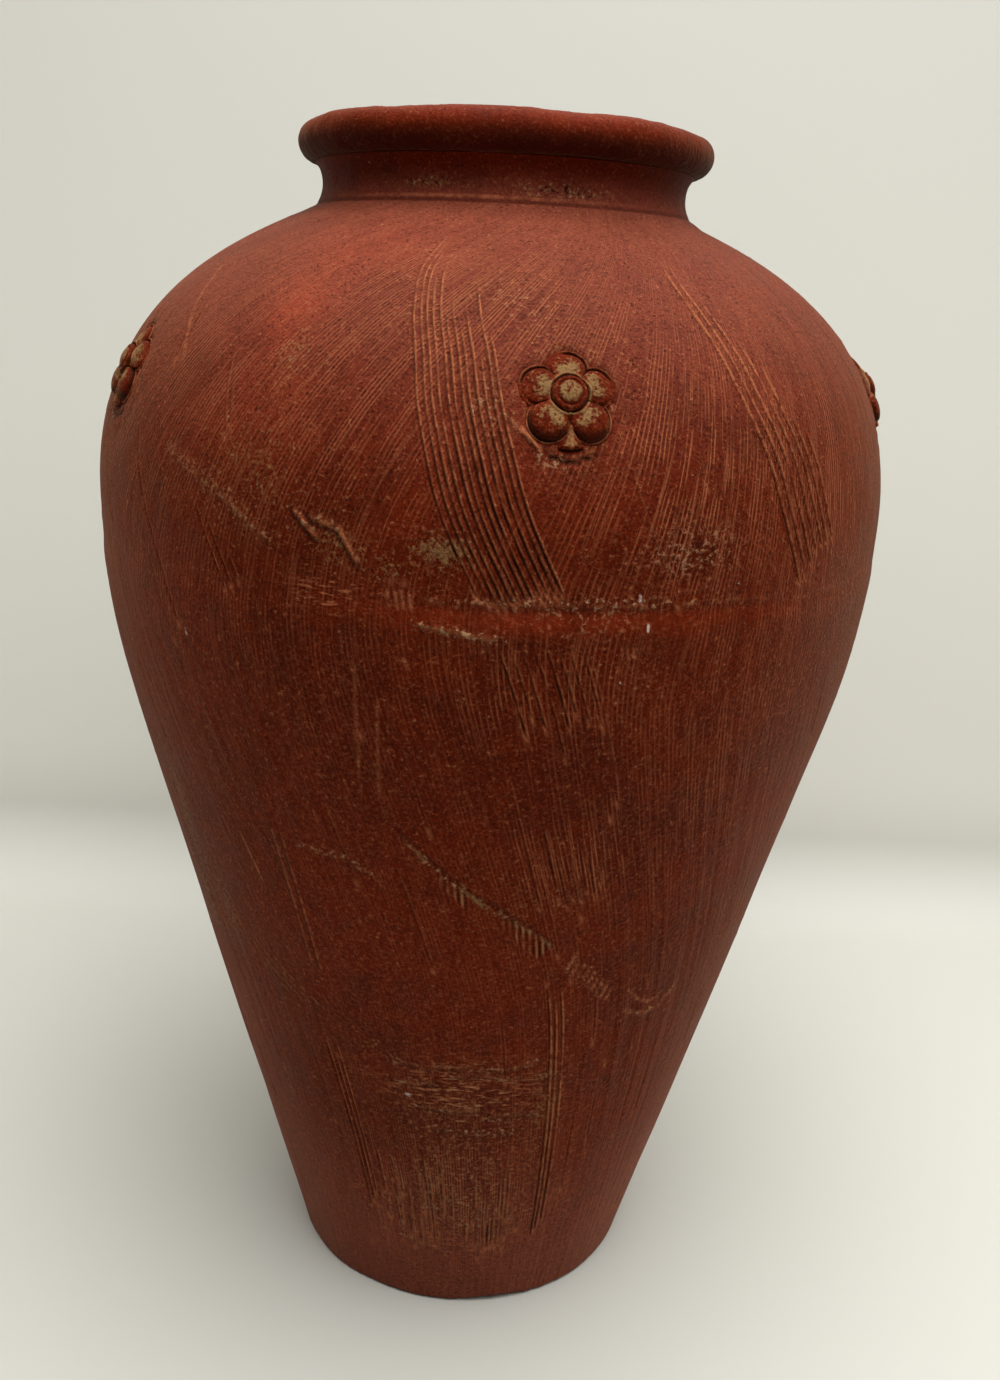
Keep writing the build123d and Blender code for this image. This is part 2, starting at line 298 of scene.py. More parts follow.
class SprigShape:
    """Outline and relief of one pressed rosette, in mm round its middle."""

    # Petals from the top one round to the right: angle, distance out, half length, half width
    # and the side where the petal is undercut, where its shadow is painted
    PETALS = (
        (90, 9.4, 5.5, 5.9, 40),
        (18, 9.6, 5.6, 6.0, 95),
        (-52, 10.8, 6.4, 6.2, 35),
        (-128, 11.0, 6.4, 6.2, -135),
        (162, 10.0, 5.8, 6.1, 110),
    )
    HUB = 7.6
    PAD = 1.7
    MARGIN = 1.8
    # Wedge of clay between the two lowest petals: middle, top, outer end and spread of its sides
    WEDGE_MIDDLE = 0.3
    WEDGE_TOP = 10.2
    WEDGE_END = 17.6
    WEDGE_SPREAD = 0.42

    def __init__(self, sprig, number):
        self.sprig = sprig
        pick = np.random.default_rng(200 + number)
        loose = 1.0 if number else 0.0
        self.petals = []
        for turn, reach, length, width, undercut in self.PETALS:
            turn += loose * pick.uniform(-4, 4)
            size = 1 + loose * pick.uniform(-0.05, 0.05)
            reach *= sprig.spread
            petal = (radians(turn), reach, length * size, width * size, radians(undercut))
            self.petals.append(petal)

    def petal_places(self, x, y):
        """For each petal: distance out of its edge as a share and in mm, then facts of the place."""
        for turn, reach, length, width, undercut in self.petals:
            px = x - reach * cos(turn)
            py = y - reach * sin(turn)
            along = px * cos(turn) + py * sin(turn)
            beside = -px * sin(turn) + py * cos(turn)
            narrow = width * (1 - 0.12 * ramp(-along, 0, length))
            share = np.hypot(along / length, beside / narrow)
            facing = (px * cos(undercut) + py * sin(undercut)) / np.maximum(np.hypot(px, py), 0.01)
            inward = np.clip(0.5 - 0.5 * along / length, 0, 1)
            sunk = np.full(x.shape, 1.0 if sin(turn) > 0 else 0.0)
            yield share, (share - 1) * width, (py / width, facing, inward, sunk)

    def wedge(self, x, y):
        """How far a place lies outside the wedge of clay between the two lowest petals."""
        above = y + self.WEDGE_TOP
        sides = np.abs(x - self.WEDGE_MIDDLE) + self.WEDGE_SPREAD * above
        return np.maximum(np.maximum(sides, np.hypot(x, y) - self.WEDGE_END), above)

    def edge(self, x, y):
        """How far a place lies outside the whole rosette."""
        outside = np.minimum(np.hypot(x, y) - self.HUB, self.wedge(x, y))
        for _, distance, _ in self.petal_places(x, y):
            outside = np.minimum(outside, distance)
        return outside

    def reach(self, turn):
        """Distance from the middle to the rosette's margin, in each direction."""
        far = np.linspace(5, 27, 221)
        x = far[None] * np.cos(turn)[:, None]
        y = far[None] * np.sin(turn)[:, None]
        inside = self.edge(x, y) < self.MARGIN
        return far[far.size - 1 - np.argmax(inside[:, ::-1], axis=1)]

    def petal_relief(self, x, y, far):
        """Height, dust, painted shade in hollows and on slopes that face away from the light, and
        rubbed edges with painted highlights, of the petals and of the wedge.
        """
        tall = self.sprig.petal_height / MM
        button = self.sprig.button_radius / MM
        shares = []
        nearest = np.full(x.shape, 1e9)
        picked = [np.zeros(x.shape)] * 4
        for share, distance, facts in self.petal_places(x, y):
            shares.append(share)
            closer = distance < nearest
            nearest = np.where(closer, distance, nearest)
            picked = [np.where(closer, new, old) for new, old in zip(facts, picked)]
        level, shade, inward, sunk = picked
        closest, second = np.sort(np.array(shares), axis=0)[:2]
        full = np.clip(closest, 0, 1)
        lower = ramp(-y, 2, 8)
        dip = 0.55 + 0.45 * ramp(far, button + 1.5, button + 5)
        pad = self.PAD * ramp(nearest, 0.6, 0.0) * (1 - sunk)
        swell = pad + (tall - self.PAD) * dip * (1 - full**2.4) ** 0.8
        slope = 0.35 * (1 - full**4) + (tall - 0.9) * inward**0.8 * (1 - 0.35 * full**2)
        petal = np.where(sunk > 0.5, slope, swell)
        out = self.wedge(x, y)
        crest = bell(x, self.WEDGE_MIDDLE, 0.7) * ramp(out, 0.6, -0.3)
        low = np.maximum(pad, self.PAD * ramp(far, self.HUB + 1.4, self.HUB - 0.4))
        low = np.maximum(low, 1.5 * ramp(out, 0.8, -0.4) + 0.7 * crest)
        height = np.where(closest < 1, np.maximum(petal, low), low)
        shaded = ramp(shade, 0.2, 0.75)
        crease = bell(second - closest, 0, 0.07) * ramp(closest, 1.15, 0.95)
        moat = bell(nearest, 0.25, 0.5) * shaded
        under = bell(far, 18.3, 0.45) * ramp(np.abs(x - self.WEDGE_MIDDLE), 6.5, 4) * lower
        lip = bell(nearest, 1.0, 0.36) * np.maximum(lower, 0.7 * shaded)
        height += 0.45 * lip - 0.9 * under - self.sprig.moat_depth / MM * moat - 0.35 * crease
        # Painted shade on the lower slopes of the lower petals, which face down away from the light,
        # in the moats on each petal's undercut side and in the groove under the wedge
        foot = 0.9 * ramp(closest, 0.45, 0.95) * ramp(-level, 0.1, 0.7) * lower
        hollow = np.maximum(1.2 * moat, foot) * ramp(nearest, 1.4, 0.8)
        hollow = np.where(far > self.HUB - 1.5, hollow, 0)
        hollow = np.maximum(hollow, 1.3 * under)
        dust = 1.15 * ramp(closest, 1.1, 0.5) * ramp(far, 16, 9)
        dust = np.maximum(dust, 1.1 * ramp(out, 0.3, -0.9))
        dust = np.maximum(dust, 0.35 * ramp(far, 17, 8))
        # Painted highlights where the lips, the creases between petals and the wedge's crest catch the
        # light
        worn = np.maximum(1.1 * lip, np.maximum(0.9 * crease, 1.2 * crest))
        return height, dust, hollow, worn

    def relief(self, x, y):
        """Height over the wall, dust, painted shade in hollows and rubbed edges with painted
        highlights, of the whole rosette.
        """
        far = np.hypot(x, y)
        height, dust, hollow, worn = self.petal_relief(x, y, far)
        button = self.sprig.button_radius / MM
        boss = self.sprig.boss_radius / MM
        top = self.sprig.boss_height / MM
        boss_ring = bell(far, boss, 0.3)
        crown = (top - 1.0) - 0.25 * ((far - boss) / (button - boss)) ** 2
        crown = np.where(far < boss, top - 0.9 * (far / boss) ** 2.4, crown) - 0.4 * boss_ring
        inside = ramp(far, button + 0.35, button - 0.15)
        angle = np.arctan2(y, x)
        uneven = 0.75 + 0.3 * np.sin(3 * angle + 1.1) + 0.2 * np.sin(7 * angle)
        ring_moat = bell(far - button, 0.3, 0.36)
        ring_lip = bell(far - button - 1.1, 0.12 * np.sin(5 * angle), 0.5) * uneven
        height = height * (1 - inside) + crown * inside + 0.6 * ring_lip - 1.1 * ring_moat
        # Painted shadow in the moat round the button, darker towards its upper right, and in the ring
        # round the boss; the lip of the ring gets a painted highlight and is also given dust
        shadow = 0.45 + 0.55 * ramp(x + y, -4, 3)
        hollow = np.maximum(hollow, np.maximum(ring_moat * shadow, 0.4 * boss_ring))
        boss_dust = 1.15 * ramp(far, boss * 1.1, boss * 0.7)
        dust = np.where(far < button + 0.4, boss_dust, np.maximum(dust, 1.7 * ring_lip))
        worn = np.maximum(worn, 1.2 * ring_lip)
        margin = ramp(self.edge(x, y), 1.1, self.MARGIN)
        inner = 1 - margin
        return height * inner - 0.6 * margin, dust * inner, hollow * inner, worn * inner


class WallSkin:
    """Tool marks, wear and painted light and shade of the outer wall, on a grid of stroke columns and
    of rows 1 mm apart.
    """

    SEAM_LEVEL = 354.5
    GOUGES = 170
    FOOT_STROKES = 46
    # How far the surface is sunk, as a share of its unevenness, so that it keeps to the true size
    SINK = 1.3

    def __init__(self, outline, wall, sprig):
        self.outline = outline
        self.wall = wall
        self.sprig = sprig
        self.rows = np.arange(0, outline.total)
        self.radius, self.height, _, facing = outline.at(self.rows)
        self.start = stroke_columns()
        self.drift = smooth_line(STROKE_DRIFT, self.height)
        self.azimuth = wrapped(self.start[:, None] + self.drift[None])
        for name in ("dent", "seat", *WEAR_AND_PAINTED_LIGHT):
            setattr(self, name, np.zeros(self.azimuth.shape))
        # Painted sheen: paler slip where the wall faces up into the overhead light, low down where
        # light bounces from the floor, and below the shoulder on the sides away from the front, where
        # side light falls
        painted_light_up_and_low = 0.65 * ramp(facing, 0.0, 0.95) + 0.68 * ramp(self.height, 120, 20)
        edge = 0.48 * ramp(self.height, 400, 330) + 0.25 * ramp(self.height, 230, 90)
        aside = np.abs(wrapped(self.azimuth + 8))
        self.bloom += painted_light_up_and_low[None] + edge[None] * ramp(aside, 28, 64)

    def noise(self, across, along, seed):
        """Smooth random field on the wall, its grain in quarter degrees and in mm."""
        field = soft_noise(self.dent.shape, across, along, seed)
        place = self.start / 360 * COLUMNS
        low = place.astype(int)
        part = (place - low)[:, None]
        return field[low] * (1 - part) + field[(low + 1) % COLUMNS] * part

    def across(self, azimuth):
        """Distance round the wall from a place, in mm."""
        return np.radians(wrapped(self.azimuth - azimuth)) * self.radius[None]

    def along_path(self, path):
        """Distance from a path of (azimuth, height) points, length along it, side and full length."""
        origin = path[0][0]
        x = self.across(origin)
        y = np.broadcast_to(self.rows[None], x.shape)
        nearest = np.full(x.shape, 1e9)
        along = np.zeros(x.shape)
        side = np.zeros(x.shape)
        turns = [azimuth - origin for azimuth, _ in path]
        lengths = [float(self.outline.length_at_height(height)) for _, height in path]
        radii = np.interp(lengths, self.rows, self.radius)
        places = [(radians(turn) * r, s) for turn, r, s in zip(turns, radii, lengths)]
        done = 0.0
        for (ax, ay), (bx, by) in zip(places, places[1:]):
            dx, dy = bx - ax, by - ay
            size = np.hypot(dx, dy)
            t = np.clip(((x - ax) * dx + (y - ay) * dy) / size**2, 0, 1)
            distance = np.hypot(x - ax - t * dx, y - ay - t * dy)
            closer = distance < nearest
            nearest = np.where(closer, distance, nearest)
            along = np.where(closer, done + t * size, along)
            side = np.where(closer, np.sign(dx * (y - ay) - dy * (x - ax)), side)
            done += size
        return nearest, along, side, done

    def patch(self, azimuth, height, half_width, half_height):
        """Soft round mask on the wall, its half sizes in mm."""
        x = self.across(azimuth) / half_width
        y = (self.height[None] - height) / half_height
        return np.exp(-(x * x + y * y))

    def dab(self, name, spots):
        """Adds soft spots of wear to a field."""
        field = getattr(self, name)
        for azimuth, height, half_width, half_height, strength in spots:
            field += strength * self.patch(azimuth, height, half_width, half_height)

    def keep_most(self, name, values, columns=slice(None)):
        """Raises a field to new values where they are higher."""
        field = getattr(self, name)
        field[columns] = np.maximum(field[columns], values)

    def tooth(
        self, start, top, bottom, depth, width, seed, shift=0.0, top_fade=14.0, lit=1.0, crumbs=0.0
    ):
        """One groove along the strokes, with clay pushed up on both of its sides."""
        offset = wrapped(self.start - start)
        picked = np.nonzero(np.abs(offset) < 3)[0]
        slide = shift * ramp(self.height, 440, 395)
        slope = np.gradient(self.drift, self.height) * pi / 180 * self.radius
        lean = 1 / np.sqrt(1 + slope**2)
        place = np.radians(offset[picked][:, None] - slide[None]) * (self.radius * lean)[None]
        distance = np.abs(place)
        chatter = soft_noise((8, len(self.rows)), 0.3, 1.6, seed)[0]
        held = ramp(self.height, top, top - top_fade) * ramp(self.height, bottom, bottom + 2)
        pressed = (held * np.clip(1 + 0.3 * chatter, 0.2, 1.7))[None]
        cut = bell(distance, 0, width)
        lip = bell(distance, 2.1 * width, 0.75 * width)
        lit_side = bell(place, 1.9 * width, 0.65 * width)
        crumb = bell(distance, 0, 1.6 * width)
        end = bell(self.height - bottom, -0.8, 1.3)[None]
        tip = bell(self.height, bottom, 2.0)[None]
        self.dent[picked] += depth * (pressed * (0.3 * lip - cut) + 0.4 * end * crumb)
        strong = np.clip(pressed, 0, 1.2) * min(1, depth / 0.8)
        low = 0.2 + 0.8 * ramp(self.height, bottom + 70, bottom + 32)[None]
        # Painted shade in the groove, heavier towards its lower end, and a painted highlight on the
        # side that faces the light; pale crumbs at its tip
        self.keep_most("groove", cut**1.5 * strong * low, picked)
        self.keep_most("worn", lit * lit_side * strong * (2.2 - 1.2 * low), picked)
        self.keep_most("worn", 0.8 * tip * crumb, picked)
        self.grit[picked] += crumbs * lit_side * pressed

    def comb(self, start, spacing, tops, bottoms, depth, seed, shift=0.0, crumbs=0.0):
        """A band of grooves drawn by one comb, each tooth with its own start and end."""
        jitter = np.random.default_rng(seed)
        width = self.wall.comb_width / MM
        for number, (top, bottom) in enumerate(zip(tops, bottoms)):
            place = start + number * spacing + jitter.uniform(-0.1, 0.1)
            weight = depth * jitter.uniform(0.75, 1.1)
            own_seed = seed * 31 + number
            self.tooth(place, top, bottom, weight, width, own_seed, shift, crumbs=crumbs)

    def add_ground(self):
        """Unevenness of a hand-built wall, and scraping that follows the strokes."""
        uneven = self.wall.unevenness / MM
        lumps = self.noise(75, 48, 1) + 0.45 * self.noise(22, 20, 2)
        self.dent += uneven * 0.5 * np.clip(lumps, -2, 2)
        scrape = self.wall.scrape_depth / MM
        lines = self.noise(1.1, 26, 3) + 0.7 * self.noise(2.6, 60, 4)
        lower = ramp(self.height, 365, 325)[None]
        held = np.clip(0.5 + 0.45 * self.noise(40, 35, 5), 0.05, 1.2)
        self.dent += scrape * lines * held * (0.35 + 0.65 * lower)
        crumbs = np.maximum(self.noise(1.6, 1.5, 6) - 1.6, 0)
        self.dent += 0.2 * crumbs * held

    def add_gouges(self):
        """Single deeper scratches left by grit under the scraper."""
        pick = np.random.default_rng(71)
        for number in range(self.GOUGES):
            start = pick.uniform(0, 360)
            top = pick.uniform(60, 440) if number % 3 else pick.uniform(60, 200)
            size = pick.uniform(14, 80)
            depth = pick.uniform(0.08, 0.32)
            end = max(top - size, 30)
            self.tooth(start, top, end, depth, 0.55, 500 + number, top_fade=size * 0.4)

    def add_combing(self):
        """Bands of combing in front, from the shoulder down to the foot."""
        depth = self.wall.comb_depth / MM
        for start, spacing, share, seed, shift, crumbs, tops, ends in COMBS:
            self.comb(start, spacing, tops, ends, share * depth, seed, shift, crumbs)

    def add_foot_strokes(self):
        """Short strokes of the scraper low on the left."""
        depth = self.wall.comb_depth / MM
        pick = np.random.default_rng(37)
        for number in range(self.FOOT_STROKES):
            start = pick.uniform(-64, -29)
            top = pick.uniform(52, 100)
            end = max(top - pick.uniform(14, 40), 35 + pick.uniform(0, 8))
            weight = pick.uniform(0.3, 0.6) * depth
            self.tooth(start, top, end, weight, 0.5, 700 + number, 0, 8, 2.5, 1.5)

    def add_back_combing(self):
        """Bands of combing round the back, each with a shorter one below it."""
        depth = self.wall.comb_depth / MM
        for number, start in enumerate(BACK_COMB_STARTS):
            pick = np.random.default_rng(40 + number)
            teeth = int(pick.integers(5, 8))
            tops = pick.uniform(440, 472, teeth)
            ends = 362 + pick.uniform(-5, 9) + pick.uniform(-2, 3, teeth)
            self.comb(start, 1.55, tops, ends, depth, 60 + number)
            low = pick.uniform(60, 320)
            tops = low + pick.uniform(40, 80) + pick.uniform(-6, 6, 4)
            ends = (max(low - 30, 45),) * 4
            self.comb(start + pick.uniform(-40, 10), 1.3, tops, ends, 0.5 * depth, 80 + number)

    def add_seam(self):
        """Step where the shoulder course was lapped over the belly and smoothed by thumb."""
        step = self.wall.seam_step / MM
        wave = 0.9 * self.noise(30, 400, 21)[:, :1]
        height = self.height[None] - (self.SEAM_LEVEL + wave)
        seen = 0.35 + 0.65 * self.patch(2, 355, 70, 60)
        shelf = ramp(height, -6, 1.5) * ramp(height, 36, 4)
        self.dent += step * seen * (0.45 * bell(height, -9, 5) - shelf)
        band = bell(height, -3.5, 4.5, 4) * self.patch(2, 352, 52, 30)
        self.keep_most("smooth", band)
        self.flush += 0.45 * band * self.patch(-6, 352, 40, 60)
        # Painted shade in the crease along the seam
        line = bell(height, 0.8, 0.8) * self.patch(4, 356, 55, 30)
        self.keep_most("groove", 0.5 * line)
        broken = np.clip(self.noise(3.0, 1.2, 24), 0, 2)
        edge = bell(height, 2.2, 1.0) * broken * seen
        self.dent += 0.22 * edge
        # Painted highlight, with some wear, on the seam's broken edge, where it catches the light
        self.keep_most("worn", 0.4 * edge)
        self.grit += 1.1 * bell(height, 2.6, 2.2) * self.patch(2, 357, 62, 30)

    def add_slanting_smear(self):
        """Long slanting edge where a stroke stopped, with two groups of tooth ticks under it."""
        nearest, along, side, size = self.along_path(SMEAR_EDGE)
        held = ramp(along, 0, 26) * ramp(along, size, size - 4)
        broken = np.clip(0.75 + 0.5 * self.noise(2.2, 2.0, 26), 0.1, 1.3)
        edge = bell(nearest, 0, 1.0) * held * broken
        shade = bell(nearest, 1.4, 0.8) * held * (side > 0)
        turn = self.azimuth
        groups = ramp(turn, -17.5, -16.5) * ramp(turn, -9, -10.5)
        groups += ramp(turn, -5, -3.5) * ramp(turn, 6, 5)
        longest = 5.5 + 1.6 * self.noise(9, 400, 27)[:, :1] + 2.0 * ramp(turn, -4, 0)
        reach = ramp(nearest, longest + 1.5, longest - 1) * ((side < 0) & (nearest < 10))
        reach = reach * held * groups * broken
        wave = np.cos(2 * pi * (self.across(-6) + 0.1 * (self.height[None] - 236)) / 2.5)
        ticks = np.clip(wave, 0, 1) ** 1.5 * reach
        gaps = np.clip(-wave, 0, 1) ** 1.5 * reach
        self.dent += 0.5 * edge - 0.35 * shade - 0.4 * ticks + 0.25 * gaps
        self.patina += edge + 0.9 * gaps
        self.grit += 1.3 * bell(nearest, 0, 1.3) * held
        # Painted highlights on the slanting edge and on the clay between the ticks; painted shade in
        # the ticks and beside the edge
        self.keep_most("worn", 0.4 * edge + 1.2 * gaps)
        self.keep_most("groove", ticks + 0.6 * shade)

    def add_ticks(self):
        """Nine short upright ticks beyond the slanting edge, in a falling row."""
        for share in np.linspace(0, 1, 9):
            turn = 7.8 + 8.6 * share
            height = 206 - 20 * share
            tick = ((turn - 0.7, height - 4.2), (turn + 0.7, height + 4.2))
            self.scratch(tick, 0.35, 0.5, 1.4, 0.7, 0.4, 0.8)

    def add_curl(self):
        """Crumbly curl of clay at the end of the row of ticks."""
        nearest, along, _, _ = self.along_path(CURL)
        hook = bell(nearest, 0, 1.3) * ramp(along, 0, 12)
        hook = hook * np.clip(0.95 + 0.45 * self.noise(2.2, 2.0, 25), 0.35, 1.4)
        self.dent += 0.6 * hook
        self.patina += 1.2 * hook
        self.grit += 1.7 * hook
        self.keep_most("worn", 0.8 * hook)

    def add_flake(self):
        """Lifted flake of clay on the left of the shoulder."""
        for path, height in FLAKE_EDGES:
            nearest, _, side, _ = self.along_path(path)
            edge = bell(nearest, 0, 0.8)
            under = bell(nearest, 1.9, 0.9) * (side < 0)
            self.dent += 1.3 * height * edge - 0.5 * under
            # Painted shadow under the flake's edge and a painted highlight on the edge itself
            self.keep_most("groove", 0.7 * under)
            self.keep_most("worn", edge)
            self.grit += 0.9 * bell(nearest, 0, 2.2)

    def add_rosette_ground(self):
        """Clay pushed aside round each rosette: a thumbed hollow under it with painted shade in it, a
        fold with a painted highlight, and loose crumbs.
        """
        level = float(np.interp(self.wall.rosette_height / MM, self.height, self.rows))
        rough = self.noise(1.7, 1.6, 31)
        for number, azimuth in enumerate(ROSETTES.values()):
            x = self.across(azimuth)
            y = np.broadcast_to(self.rows[None] - level, x.shape)
            far = np.hypot(x, y)
            below = ramp(-y, 12, 16)
            arc = bell(far, 21.4, 0.6) * below * ramp(x, -10, -5) * ramp(x, 12, 8)
            fold = bell(far, 20.1, 0.8) * below * ramp(x, -9, -5) * ramp(x, 9, 6)
            heap = bell(far, 22.5, 2.5) * below * ramp(x, -15, -11) * ramp(x, 3, -3)
            ring = bell(far, 24, 8)
            self.dent += 0.4 * fold - 1.1 * arc + 0.3 * heap * np.clip(rough, 0, 2)
            self.dent += 0.22 * ring * np.clip(rough - 0.6, 0, 2)
            # Painted highlight on the fold and painted shade in the arc under the rosette
            self.keep_most("worn", 0.5 * fold * np.clip(1 + rough, 0, 2))
            self.keep_most("groove", 1.6 * arc)
            self.grit += 0.35 * ring + 0.5 * fold + 0.8 * heap
            self.patina += 0.4 * bell(far, 15, 6)
            close = far < 30
            seat = np.zeros(x.shape)
            edge = SprigShape(self.sprig, number).edge(x[close], y[close])
            seat[close] = ramp(edge, 1.4, 0.6)
            self.keep_most("seat", seat)

    def scratch(self, path, height, width, lit=0.0, crumbs=0.0, dusty=0.0, dark=0.0):
        """A thin raised or cut line along a path, with a painted highlight, crumbly or dusty clay on
        it, and a painted shadow along one side.
        """
        nearest, along, side, size = self.along_path(path)
        held = ramp(along, 0, 3) * ramp(along, size, size - 3)
        line = bell(nearest, 0, width) * held
        beside = bell(nearest, 1.7 * width, 0.8 * width) * (side < 0) * held
        self.dent += height * line
        self.keep_most("worn", lit * line)
        self.grit += crumbs * bell(nearest, 0, 1.8 * width) * (nearest < 4 * width)
        self.patina += dusty * line
        self.keep_most("groove", dark * beside)

    def add_scratches(self):
        """Single lines, rows of like lines, and the crumbly ones low on the front."""
        for path, *values in SCRATCHES:
            self.scratch(path, *values)
        for path in CRUMB_LINES:
            self.scratch(path, 0.25, 0.9, 0.35, 1.5, 0.3, 0.5)
        for starts, way, *values in SCRATCH_ROWS:
            for start in starts:
                path = [(start + turn, height) for turn, height in way]
                self.scratch(path, *values)

    def add_wear(self):
        """Tan patina, grit, level rubbing, chips, brighter slip and fine scraping."""
        self.dab("patina", PATINA_SPOTS)
        self.dab("grit", GRIT_SPOTS)
        self.grit += 0.1 + 0.2 * ramp(self.height, 360, 320)[None]
        self.dab("cross", LEVEL_RUBS)
        self.dab("pale", CHIPS)
        self.dab("flush", FLUSH_SPOTS)
        self.hatch += 0.3 - 0.08 * ramp(self.height, 345, 320)[None]
        self.dab("hatch", HATCH_SPOTS)

    def lean(self):
        """Turn that carries the fine scraping along its own slants, in radians."""
        least = 0.15
        slant = np.zeros(self.dent.shape)
        share = np.full(self.dent.shape, least)
        for azimuth, height, half_width, half_height, degrees in SCRAPE_SLANTS:
            weight = self.patch(azimuth, height, half_width, half_height)
            slant += weight * degrees
            share += weight
        drift = np.gradient(np.radians(self.drift), self.rows)
        strokes = -np.degrees(np.arctan(drift * self.radius))
        slant = (slant - least * strokes[None]) / share
        turn = np.tan(np.radians(np.clip(slant, -70, 70))) / self.radius[None]
        return -np.cumsum(turn, axis=1)

    def build(self):
        """Works all the marks into the wall, from the coarse to the fine."""
        self.add_ground()
        self.add_gouges()
        self.add_combing()
        self.add_foot_strokes()
        self.add_back_combing()
        self.add_seam()
        self.add_slanting_smear()
        self.add_ticks()
        self.add_curl()
        self.add_flake()
        self.add_rosette_ground()
        self.add_scratches()
        self.add_wear()
        self.turn = self.lean()
        self.dent -= self.wall.unevenness / MM * self.SINK
        self.dent *= ramp(self.outline.total - self.rows, 0, 7)[None]
        return self

    def read_around(self, field, azimuth, length):
        """A field at any azimuth and length."""
        height = np.interp(length, self.rows, self.height)
        turn = (azimuth - smooth_line(STROKE_DRIFT, height)) % 360
        place = np.interp(turn, np.append(self.start, 360), np.arange(COLUMNS + 1))
        low = np.floor(place).astype(int)
        part = place - low
        first = self.read(field, low % COLUMNS, length)
        return first * (1 - part) + self.read(field, (low + 1) % COLUMNS, length) * part

    def read(self, field, column, length):
        """A field at whole columns and at any length along the wall."""
        low = np.clip(np.floor(length).astype(int), 0, len(self.rows) - 2)
        part = np.clip(length - low, 0, 1)
        return field[column, low] * (1 - part) + field[column, low + 1] * part


def start_piece():
    """Leaves edit mode and drops the selection, so that new work touches only new things."""
    if bpy.context.object and bpy.context.object.mode != "OBJECT":
        bpy.ops.object.mode_set(mode="OBJECT")
    bpy.ops.object.select_all(action="DESELECT")


def turned_piece(name, section, columns=COLUMNS):
    """A closed section of (radius, height) points in mm, turned once round the upright axis."""
    start_piece()
    bpy.ops.mesh.primitive_circle_add(vertices=len(section), radius=0.05)
    piece = bpy.context.object
    piece.name = name
    piece.data.name = name
    section = np.array(section, float)
    places = np.zeros((len(section), 3))
    places[:, 1] = -section[:, 0] * MM
    places[:, 2] = section[:, 1] * MM
    piece.data.vertices.foreach_set("co", places.ravel())
    row = piece.data.attributes.new("section_row", "INT", "POINT")
    row.data.foreach_set("value", np.arange(len(section), dtype=np.int32))
    bpy.ops.object.modifier_add(type="SCREW")
    turning = piece.modifiers[-1]
    turning.steps = columns
    turning.render_steps = columns
    turning.angle = 2 * pi
    turning.axis = "Z"
    turning.use_merge_vertices = True
    turning.merge_threshold = 1e-6
    bpy.ops.object.modifier_apply(modifier=turning.name)
    bpy.ops.object.mode_set(mode="EDIT")
    bpy.ops.mesh.select_all(action="SELECT")
    bpy.ops.mesh.remove_doubles(threshold=1e-6)
    bpy.ops.mesh.normals_make_consistent(inside=False)
    bpy.ops.object.mode_set(mode="OBJECT")
    return piece


def grid_places(piece, columns=COLUMNS):
    """Section row and column of every vertex of a turned piece."""
    mesh = piece.data
    row = np.empty(len(mesh.vertices), np.int32)
    mesh.attributes["section_row"].data.foreach_get("value", row)
    places = np.empty(len(mesh.vertices) * 3)
    mesh.vertices.foreach_get("co", places)
    places = places.reshape(-1, 3)
    turn = np.arctan2(places[:, 0], -places[:, 1]) / (2 * pi / columns)
    return row, np.rint(turn).astype(int) % columns


def set_round_places(piece, azimuth, radius, height):
    """Moves the vertices to azimuths in degrees from the front, and to radii and heights in mm."""
    angle = np.radians(azimuth)
    places = np.column_stack([radius * np.sin(angle), -radius * np.cos(angle), height]) * MM
    piece.data.vertices.foreach_set("co", places.ravel())
    piece.data.update()


def store(piece, name, values):
    """Keeps one value a vertex, for the finish to read."""
    layer = piece.data.attributes.new(name, "FLOAT", "POINT")
    layer.data.foreach_set("value", np.full(len(layer.data), values, np.float32))


def mark_corners(piece, corners):
    """Keeps the edges that run round the piece at its section's corners sharp."""
    mesh = piece.data
    row = np.empty(len(mesh.vertices), np.int32)
    mesh.attributes["section_row"].data.foreach_get("value", row)
    ends = np.empty(len(mesh.edges) * 2, np.int32)
    mesh.edges.foreach_get("vertices", ends)
    ends = row[ends.reshape(-1, 2)]
    sharp = (ends[:, 0] == ends[:, 1]) & np.isin(ends[:, 0], corners)
    layer = mesh.attributes.new("sharp_edge", "BOOLEAN", "EDGE")
    layer.data.foreach_set("value", sharp)


def finish_piece(piece, node, material, corners=()):
    """Smooths a piece, gives it its clay, and lets it stand for its CAD node."""
    piece.data.materials.clear()
    piece.data.materials.append(material)
    start_piece()
    piece.select_set(True)
    bpy.context.view_layer.objects.active = piece
    bpy.ops.object.shade_smooth()
    mark_corners(piece, corners)
    piece.data.attributes.remove(piece.data.attributes["section_row"])
    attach(piece, "root")
    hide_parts(node)
    start_piece()


def new_group(name, inputs, outputs):
    """Empty shader group with named sockets, and its entry and exit nodes."""
    group = bpy.data.node_groups.new(name, "ShaderNodeTree")
    for label, default in inputs.items():
        socket = group.interface.new_socket(name=label, in_out="INPUT", socket_type="NodeSocketFloat")
        socket.default_value = default
    for label in outputs:
        group.interface.new_socket(name=label, in_out="OUTPUT", socket_type="NodeSocketFloat")
    return group, group.nodes.new("NodeGroupInput"), group.nodes.new("NodeGroupOutput")


